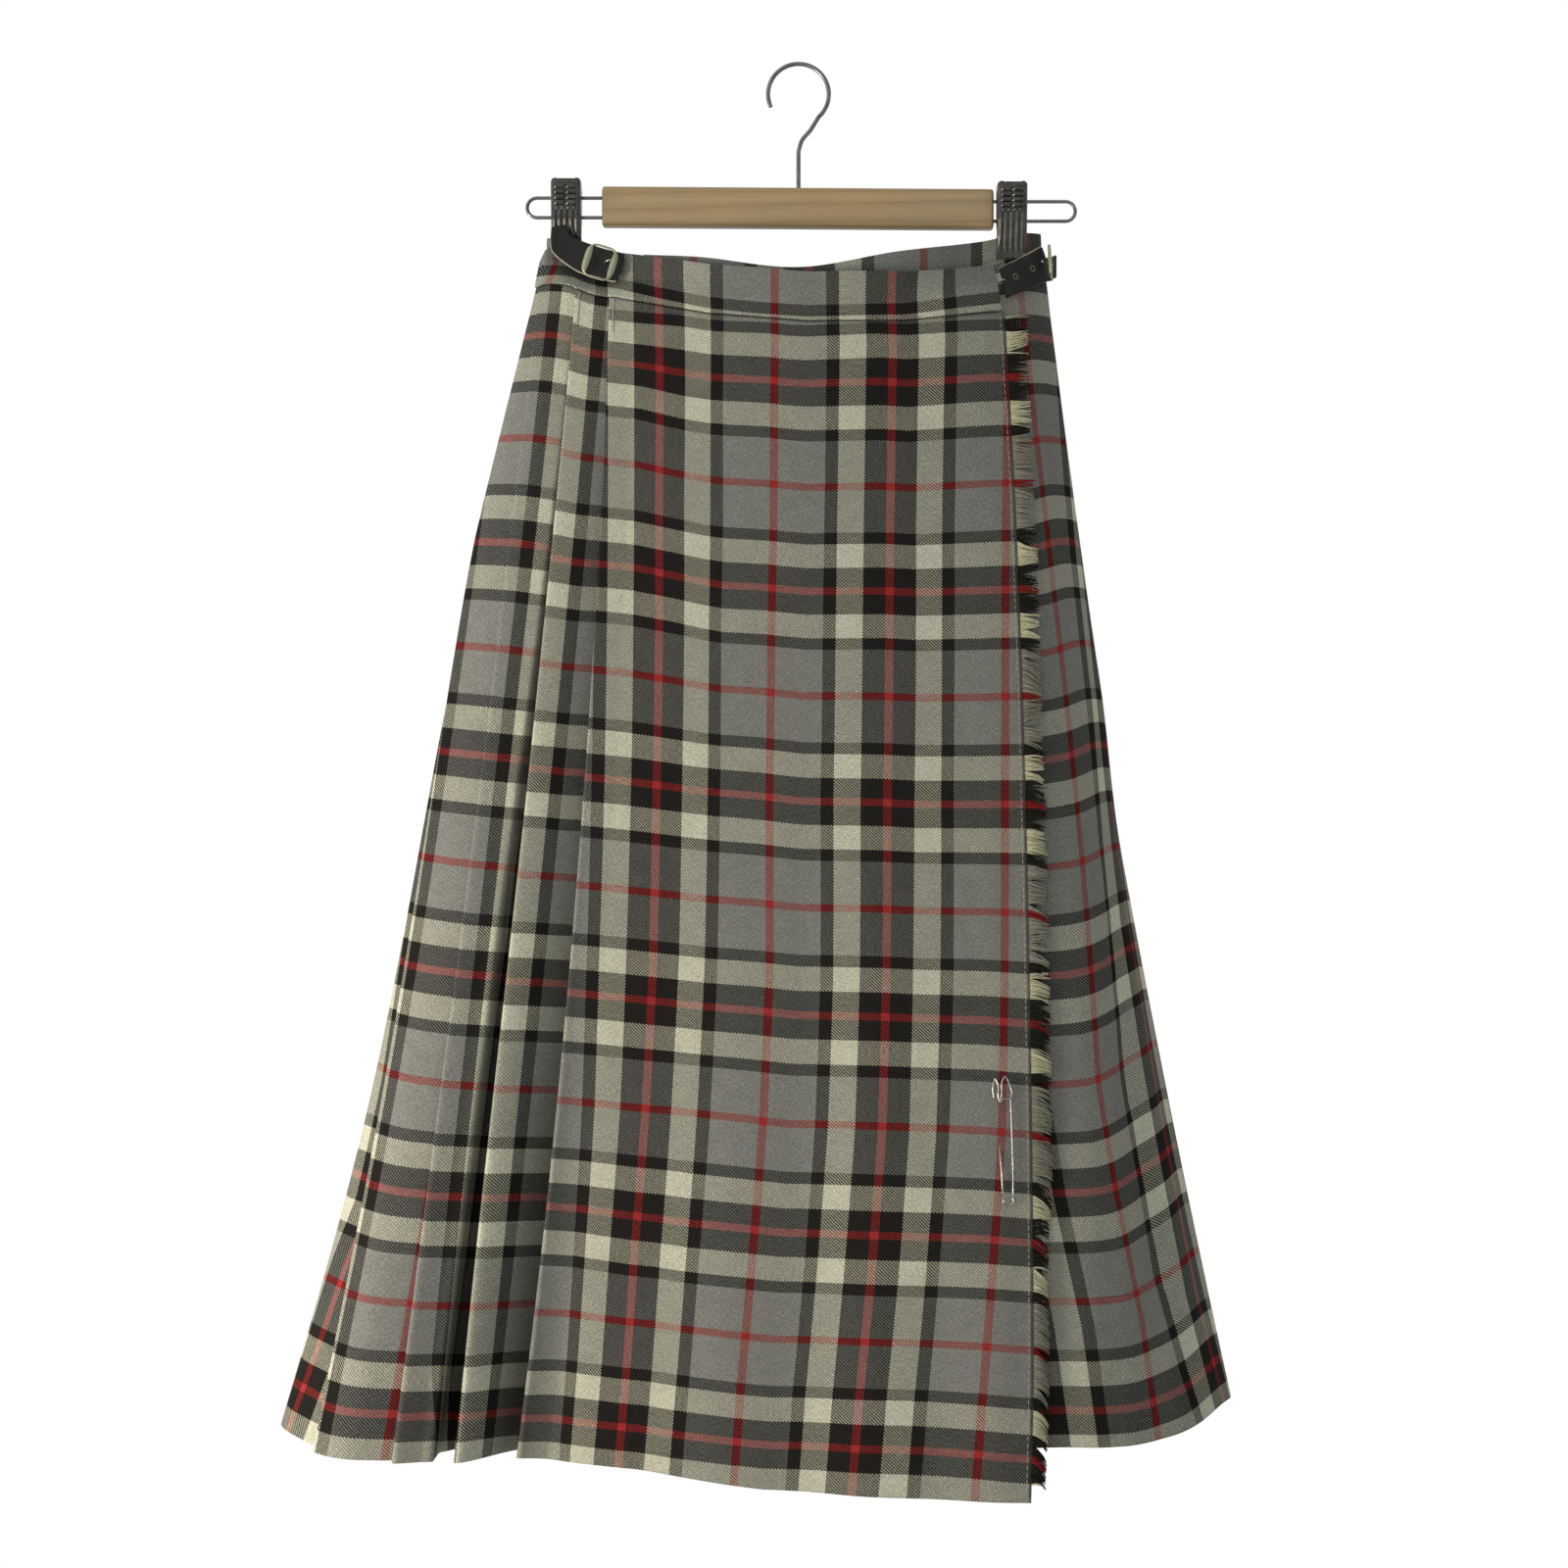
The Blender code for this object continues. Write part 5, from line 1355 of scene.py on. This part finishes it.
def kilt_pin():
    """The coil makes one and a half turns, coming a little forward; the rest are smooth lines."""
    bar_x, leg_x = PIN["x"] + 4.0, PIN["x"] - PIN_COIL
    coil_z = PIN["bottom"] + 4.0
    coil = [(PIN["x"] + PIN_COIL * cos(a), coil_z + PIN_COIL * sin(a), 2.4 + 0.22 * k)
            for k, a in enumerate(np.radians(np.arange(0, -541, -30)))]
    leg = [(leg_x - 0.2, coil_z + 5, 3.2), (leg_x - 0.9, coil_z + 20, 3.0), (leg_x - 1.7, -776.0, 2.0),
           (leg_x - 1.9, -769.5, 0.2)]
    back_bar = [(bar_x - 1.6, PIN["top"] - 12, 2.6), (bar_x - 0.9, -760, 2.6), (bar_x - 0.4, coil_z + 8, 2.5),
                (bar_x - 0.5, coil_z + 3, 2.4)]
    body = wire("kilt_pin_wire", through(before_apron(back_bar + coil + leg), 220), 0.5, bright_wire)
    top = PIN["top"]
    clasp = before_apron([(x, top + rise, off) for x, rise, off in (
        (134.4, -15.0, 2.2), (133.8, -7.0, 2.6), (135.4, -1.5, 3.4), (137.0, -5.0, 4.2), (137.4, -14.0, 4.4),
        (138.6, -17.5, 4.2), (139.6, -10.0, 4.4), (140.0, -3.0, 4.2), (142.0, 0.0, 3.6), (144.2, -3.5, 3.2),
        (145.8, -14.5, 3.0), (142.6, -15.6, 3.4), (139.6, -15.2, 3.4))])
    head = wire("kilt_pin_clasp", through(clasp, 130), 0.55, bright_wire)
    return stand_for(body, "buckle_chrome", "kilt_pin"), stand_for(head, "buckle_chrome", "kilt_pin_cap")


kilt_pin()
print("kilt pin, mm:", PIN["top"] - PIN["bottom"])

# %% [markdown]
# ## The hanger
#
# A planed bar of pale softwood with softened corners, a closed loop of wire out of each end, and a spring
# clip on each loop.  A bevelled box would do for the bar, but its ends are softened more than its edges, so
# its section, a rounded rectangle, is carried along X and drawn in at both ends.  The grain is bands of
# rings seen at a low angle, bent by noise and stretched along the bar, with fine fibres and faint warm and
# cool patches.

# %% Wood
def pale_wood():
    """Rings, a band texture on a turned and stretched place, times fibres, times patches; a thin coat."""
    wood = Finish("hanger_wood", 0.52, Coat_Weight=0.08, Coat_Roughness=0.35)
    place = wood.object_place()
    bent = wood.node("ShaderNodeMapping", {"Vector": place, "Rotation": (0.0, radians(7), 0.0),
                                           "Scale": (3.2, 34.0, 55.0)}).outputs[0]
    rings = wood.node("ShaderNodeTexWave", {"Vector": bent, "Scale": 0.55, "Distortion": 7.0, "Detail": 3.0,
                                            "Detail Scale": 0.8, "Detail Roughness": 0.55},
                      wave_type="BANDS", bands_direction="Z").outputs["Fac"]
    base = wood.ramp(rings, [(0.0, (0.262, 0.185, 0.088)), (0.12, (0.295, 0.212, 0.103)),
                             (0.6, (0.312, 0.226, 0.112)), (1.0, (0.328, 0.240, 0.122))])
    fine = wood.noise(place, 60.0, 3.0, 0.6, (0.6, 22.0, 22.0))
    fibre = wood.ramp(fine, [(0.3, grey(0.93)), (0.7, grey(1.05))])
    slow = wood.noise(place, 9.0, 2.0, 0.5, (1.0, 1.0, 3.0))
    patches = wood.ramp(slow, [(0.35, (1.07, 1.0, 0.93)), (0.65, (0.95, 0.97, 1.0))])
    wood.colour(wood.mix(1.0, wood.mix(1.0, base, fibre, "MULTIPLY"), patches, "MULTIPLY"))
    wood.bump(wood.noise(place, 90.0, 2.0, 0.5, (0.5, 20.0, 20.0)), 0.0001, 0.5)
    return wood.material


hanger_wood = pale_wood()
print("nodes in the wood:", len(hanger_wood.node_tree.nodes))

# %% Wooden bar
BAR_LEFT, BAR_RIGHT = -142, 141
BAR_HIGH, BAR_DEEP = 14.25, 7.0       # half its height and half its depth
BAR_CORNER, BAR_END = 3.5, 2.0        # radii of its long corners and of its ends
BAR_MIDDLE = (-102.25, -104.25)       # z of its middle at the left and the right end


def bar():
    """Section: a rectangle with round corners.  At both ends the section draws in by a quarter circle,
    which softens the end grain's edge."""
    angle = np.linspace(0, 2 * pi, 49)[:-1] + pi / 4
    quarter = np.linspace(0, pi / 2, 5)
    into = np.concatenate([BAR_END * (1 - np.sin(quarter)), [0.0]])
    step = np.concatenate([BAR_END * (1 - np.cos(quarter)), [8.0]])
    x = np.concatenate([BAR_LEFT + step, np.linspace(-130, 129, 30), (BAR_RIGHT - step)[::-1]])
    draw = np.concatenate([into, np.zeros(30), into[::-1]])
    centre_z = np.interp(x, [BAR_LEFT, BAR_RIGHT], BAR_MIDDLE)
    y = np.sign(np.cos(angle)) * (BAR_DEEP - BAR_CORNER) + BAR_CORNER * np.cos(angle)
    z = np.sign(np.sin(angle)) * (BAR_HIGH - BAR_CORNER) + BAR_CORNER * np.sin(angle)
    shrink_y, shrink_z = 1 - draw / BAR_DEEP, 1 - draw / BAR_HIGH
    points = np.stack([np.broadcast_to(x[:, None], (len(x), len(angle))), shrink_y[:, None] * y[None],
                       centre_z[:, None] + shrink_z[:, None] * z[None]], axis=-1)
    return stand_for(tubes("hanger_wood_bar", points[None], hanger_wood), "hanger_wood", "hanger_bar")


bar()
print("bar, mm:", BAR_RIGHT - BAR_LEFT, "by", 2 * BAR_HIGH, "by", 2 * BAR_DEEP)


# %% Wire loops and hook
LOOP_BEND, LOOP_WIRE = 7.1, 1.3       # the loops' bend and their wire's radius
HOOK_BEND, HOOK_WIRE = 22.0, 1.6      # the hook's


def arc(centre, radius, start, end, count):
    """Points of an arc in the plane of the hanger, angles in degrees from +X towards +Z."""
    angle = np.radians(np.linspace(start, end, count))
    return np.stack([centre[0] + radius * np.cos(angle), np.full(count, centre[1]),
                     centre[2] + radius * np.sin(angle)], -1)


for side, outward, bar_end, reach, upper in (("left", -1, BAR_LEFT, -196.5, -95.6),
                                             ("right", 1, BAR_RIGHT, 200.5, -98.2)):
    root, lower = bar_end - outward * 3, upper - 2 * LOOP_BEND
    bend = arc((reach - outward * LOOP_BEND, 0.0, upper - LOOP_BEND), LOOP_BEND, 90, 90 - outward * 180, 25)
    first = np.linspace([root, 0, upper], bend[0], 12)[:-1]
    last = np.linspace(bend[-1], [root, 0, lower], 12)[1:]
    loop = wire("loop_wire_" + side, np.vstack([first, bend, last]), LOOP_WIRE, hanger_wire)
    stand_for(loop, "hanger_wire", "wire_loop_" + side)

hook_line = np.vstack([np.linspace([0, 0, -91], [0, 0, -64], 8),
                       through([(0, 0, -62), (2.2, 0, -54.5), (8.6, 0, -46.6)], 14),
                       arc((0, 0, -20.4), HOOK_BEND, -48, 205, 60)])
stand_for(wire("hook_wire", hook_line, HOOK_WIRE, hanger_wire), "hanger_wire", "hanger_hook")
print("loops and hook made")

# %% [markdown]
# A clip is two bent steel jaws and a coil spring.  Each jaw is one sheet: we carry a line across it, round
# its corners and back along its cheeks, down the jaw's length.  The pressed pattern is added as relief on
# the front: two columns of four bars, a row of small knobs, then flutes down to the teeth.  A bump in the
# material would not catch the light along the clip's outline, so the pattern is real.

# %% Pressed pattern of the clips
BAR_COLUMNS, BAR_ROWS = (-4.25, 4.25), (5.3, 9.4, 13.5, 17.6)
KNOB_COLUMNS, KNOB_ROW = (-6.2, -2.1, 2.1, 6.2), 21.3
FLUTE = 4.1                   # from one flute to the next, and from one tooth to the next
CLIP_LONG = 58.0
CLIP_FOOT = -141.0            # z of the teeth
CLIP_LEVELS = np.array([      # z, jaw open by, cheek y, how far the cheek is bent back
    (-83.0, 10.0, 11.5, 0.6), (-92.5, 10.4, 2.3, 1.0), (-114.0, 8.6, 2.3, 1.0), (-125.0, 5.0, 7.0, 0.7),
    (-132.0, 1.6, 0.0, 0.0), (-141.0, 0.0, 0.0, 0.0)])


def block(away, half, edge):
    """1 within a half width, falling evenly to 0 over its edge."""
    return np.clip((half - np.abs(away)) / edge, 0, 1)


def pressed(x, down):
    """Relief in mm at a place across the jaw and down from its top: blocks, knobs and a cosine's waves."""
    bars = sum(block(x - column, 3.8, 1.1) * block(down - row, 1.6, 0.9)
               for column in BAR_COLUMNS for row in BAR_ROWS)
    knobs = sum(np.clip(1 - ((x - column)**2 + (down - KNOB_ROW)**2) / 1.3, 0, 1) for column in KNOB_COLUMNS)
    between = np.clip((down - 22.5) / 2, 0, 1) * np.clip((53 - down) / 4, 0, 1)
    flutes = (0.5 + 0.5 * np.cos(x * 2 * pi / FLUTE)) * between
    return 1.0 * bars + 0.8 * knobs + 0.6 * flutes


print("relief at a bar, a knob and a flute, mm:",
      [round(float(pressed(*map(np.array, spot))), 2) for spot in ((4.25, 5.3), (2.1, 21.3), (0.0, 40.0))])


# %% Clip jaws
PLATE = 0.9                   # thickness of the steel
JAW_OUT = 1.5                 # from what a jaw grips to the jaw's front
TOP_CORNER, SIDE_CORNER = 2.2, 1.3    # radii, seen from the front and from above


def jaw(name, centre_x, top, sign, grip, half, node):
    """Rows go down the jaw, columns across it: back along one cheek, round a quarter circle, over the
    front, round the other corner and back.  The top corners are round and the foot is cut into teeth."""
    down = np.concatenate([np.linspace(0, 2.4, 9), np.linspace(2.8, CLIP_LONG - 0.8, 150),
                           [CLIP_LONG - 0.4, CLIP_LONG]])
    z = top - down * (top - CLIP_FOOT) / CLIP_LONG
    open_by, cheek, bent = (np.interp(-z, -CLIP_LEVELS[:, 0], CLIP_LEVELS[:, column]) for column in (1, 2, 3))
    y = grip + JAW_OUT + open_by
    narrow = np.sqrt(np.clip(TOP_CORNER**2 - np.clip(TOP_CORNER - down, 0, None)**2, 0, None)) - TOP_CORNER
    width = half + narrow
    corner = np.minimum(SIDE_CORNER, 0.2 + SIDE_CORNER * bent)
    cheek_to = y + (cheek - y) * bent
    across = np.linspace(-1, 1, 61)
    quarter = np.radians(np.linspace(0, 90, 6))
    x_front = across[None] * (width - corner)[:, None]
    teeth = 0.9 * np.abs(np.sin(x_front * pi / FLUTE)) * np.clip((down - 55) / 3, 0, 1)[:, None]
    y_front = y[:, None] + pressed(x_front, np.broadcast_to(down[:, None], x_front.shape))
    turn_x = (width - corner)[:, None] + corner[:, None] * np.sin(quarter)[None]
    turn_y = (y - corner)[:, None] + corner[:, None] * np.cos(quarter)[None]
    back = np.linspace(0, 1, 7)[None, 1:]
    back_y = turn_y[:, -1:] + (np.minimum(cheek_to, turn_y[:, -1]) - turn_y[:, -1])[:, None] * back
    back_x = np.broadcast_to(turn_x[:, -1:], back_y.shape)
    xs = np.hstack([-back_x[:, ::-1], -turn_x[:, ::-1], x_front[:, 1:-1], turn_x, back_x])
    ys = np.hstack([back_y[:, ::-1], turn_y[:, ::-1], y_front[:, 1:-1], turn_y, back_y])
    zs = np.broadcast_to(z[:, None], xs.shape).copy()
    beside_front = back_x.shape[1] + turn_x.shape[1]
    zs[:, beside_front:-beside_front] += teeth[:, 1:-1]
    points = np.stack([centre_x - sign * xs, sign * ys, zs], axis=-1)
    made = surface(name, points, clip_steel)
    wall = made.modifiers.new("plate", "SOLIDIFY")
    wall.thickness, wall.offset = PLATE * MM, -1.0
    return stand_for(made, "clip_steel", node)


SPRING_TURNS, SPRING_BEND, SPRING_LONG = 7, 3.3, 11.2
ARM_FOOT, ARM_OUT = -131, 4.6         # z of the arms' feet, and how far outside the grip they press


def spring(name, centre_x, wire_z, grip, node):
    """A coil round the loop's lower wire, with an arm down to each jaw."""
    turns = np.linspace(0, SPRING_TURNS * 2 * pi, 220)
    coil = np.stack([centre_x - SPRING_LONG / 2 + SPRING_LONG * turns / turns[-1],
                     SPRING_BEND * np.cos(turns), wire_z + SPRING_BEND * np.sin(turns)], -1)
    arm_in = np.linspace([coil[0, 0], grip + ARM_OUT, ARM_FOOT], coil[0], 14)[:-1]
    arm_out = np.linspace(coil[-1], [coil[-1, 0], -grip - ARM_OUT, ARM_FOOT], 14)[1:]
    line = np.vstack([arm_in, coil, arm_out])
    return stand_for(wire(name, line, 0.7, hanger_wire, sides=8), "clip_steel", node)


for side, centre_x, top, front_grip, back_grip, wire_z in (("left", -167.2, -85.4, 5.2, 5.0, -109.8),
                                                           ("right", 153.6, -87.6, 4.8, 6.0, -112.4)):
    clip = "clip_" + side
    jaw(clip + "_front_jaw", centre_x, top, -1, front_grip, 9.9, clip + "_front")
    jaw(clip + "_back_jaw", centre_x, top, 1, back_grip, 8.1, clip + "_back")
    spring(clip + "_coil", centre_x, wire_z, front_grip, clip + "_spring")
    print(clip, "made")

# %% [markdown]
# ## Floor, light and camera
#
# A plain studio: a pale floor below the hem, an even white backdrop behind, and a soft room that darkens
# towards the right, so the cloth's round side turns into shade there, and is white again at its far end, for
# a thin light edge.  One large warm lamp stands in for a window on the left.  The room is drawn on the world
# by direction, which costs nothing and has no edges to be reflected.

# %% Floor and room
floor_finish = Finish("pale_floor", 0.9)
floor_finish.shader.inputs["Base Color"].default_value = (0.42, 0.42, 0.41, 1)
bpy.ops.mesh.primitive_circle_add(radius=1.0, vertices=96, fill_type="NGON", location=(0, -0.62, -1.30))
floor = bpy.context.object
floor.name = "floor"
floor.data.materials.append(floor_finish.material)

ROOM = [(0.0, 1.04), (0.35, 1.04), (0.55, 0.74), (0.72, 0.18)]      # from left to right, and its brightness
BACKDROP_FROM = 0.05          # directions that point back by more than this meet the white backdrop
world = bpy.data.worlds.new("studio")
bpy.context.scene.world = world
world.use_nodes = True
room = Nodes(world.node_tree)
direction = room.node("ShaderNodeSeparateXYZ", {0: room.node("ShaderNodeTexCoord").outputs["Generated"]})
to_right = room.math("MULTIPLY_ADD", direction.outputs[0], 0.5, 0.5)
cool = [(spot, (level * 0.98, level, level)) for spot, level in ROOM]
glow = room.ramp(to_right, cool + [(1.0, grey(1.0))])
behind = room.math("GREATER_THAN", direction.outputs[1], BACKDROP_FROM)
studio = room.mix(behind, glow, (1.0, 1.0, 1.0, 1))
room.tree.links.new(studio, room.tree.nodes["Background"].inputs["Color"])
bpy.context.scene.view_settings.view_transform = "Standard"
print("stops in the room:", len(cool) + 1)


# %% Window light and camera
def soft_light(name, place, towards, size, power, colour):
    """A square lamp that faces a point."""
    lamp = bpy.data.lights.new(name, "AREA")
    lamp.shape, lamp.size, lamp.energy, lamp.color = "SQUARE", size, power, colour
    made = bpy.data.objects.new(name, lamp)
    made.location = place
    made.rotation_euler = (Vector(towards) - Vector(place)).to_track_quat("-Z", "Y").to_euler()
    bpy.context.scene.collection.objects.link(made)
    return made


window = soft_light("window light", (-1.75, -0.85, -1.15), (-0.1, 0, -0.9), 0.8, 46, (1.0, 0.90, 0.78))

camera_data = bpy.data.cameras.new("camera")
camera_data.lens, camera_data.sensor_width = 58.0, 36.0
camera = bpy.data.objects.new("camera", camera_data)
camera.location = (-0.0105, -1.830, -0.520)
camera.rotation_euler = (radians(90), 0, 0)
bpy.context.scene.collection.objects.link(camera)
bpy.context.scene.camera = camera
print("window light:", window.data.energy, "W; camera at", np.round(camera.location, 3).tolist())

# %% [markdown]
# ## What each cloth was cut from
#
# A kilt is cut from a straight strip and its pleats taper at the waist, so each stretch is widest at the
# hem.  The flat size is the stretch's width along its cloth at the hem by its length; the area is the cloth
# itself.  The table also lists how each cloth is held, what it rests on and what is sewn to it; the flat
# sizes are printed.

# %% Flat sizes
sewn_on = ["fringe_yarns", "edge_line", "edge_zigzag"]
for cut, width, length, area, held, rests_on, beside in (
        ("front_apron_cloth", 0.383, 0.832, 0.2767, "hung", ["waistband_front_cloth"], sewn_on),
        ("pleats_left_cloth", 0.496, 0.846, 0.3164, "folded", ["waistband_front_cloth"],
         ["pleat_top_stitches"]),
        ("pleats_back_left_cloth", 0.516, 0.847, 0.2976, "folded", ["waistband_back_cloth"], []),
        ("pleats_back_right_cloth", 0.622, 0.835, 0.3557, "folded", ["waistband_back_cloth"], []),
        ("pleats_right_cloth", 0.504, 0.827, 0.2890, "folded", ["waistband_back_cloth"], []),
        ("under_apron_cloth", 0.734, 0.826, 0.4284, "hung", ["waistband_under_cloth"], []),
        ("waistband_front_cloth", 0.383, 0.044, 0.0132, "hung", ["clip_left_front", "clip_right_front"], []),
        ("waistband_back_cloth", 0.329, 0.044, 0.0117, "hung", ["clip_left_back", "clip_right_back"], []),
        ("waistband_under_cloth", 0.337, 0.042, 0.0116, "hung", ["clip_right_back"], [])):
    print(cut, "cut from", width, "by", length, "m")
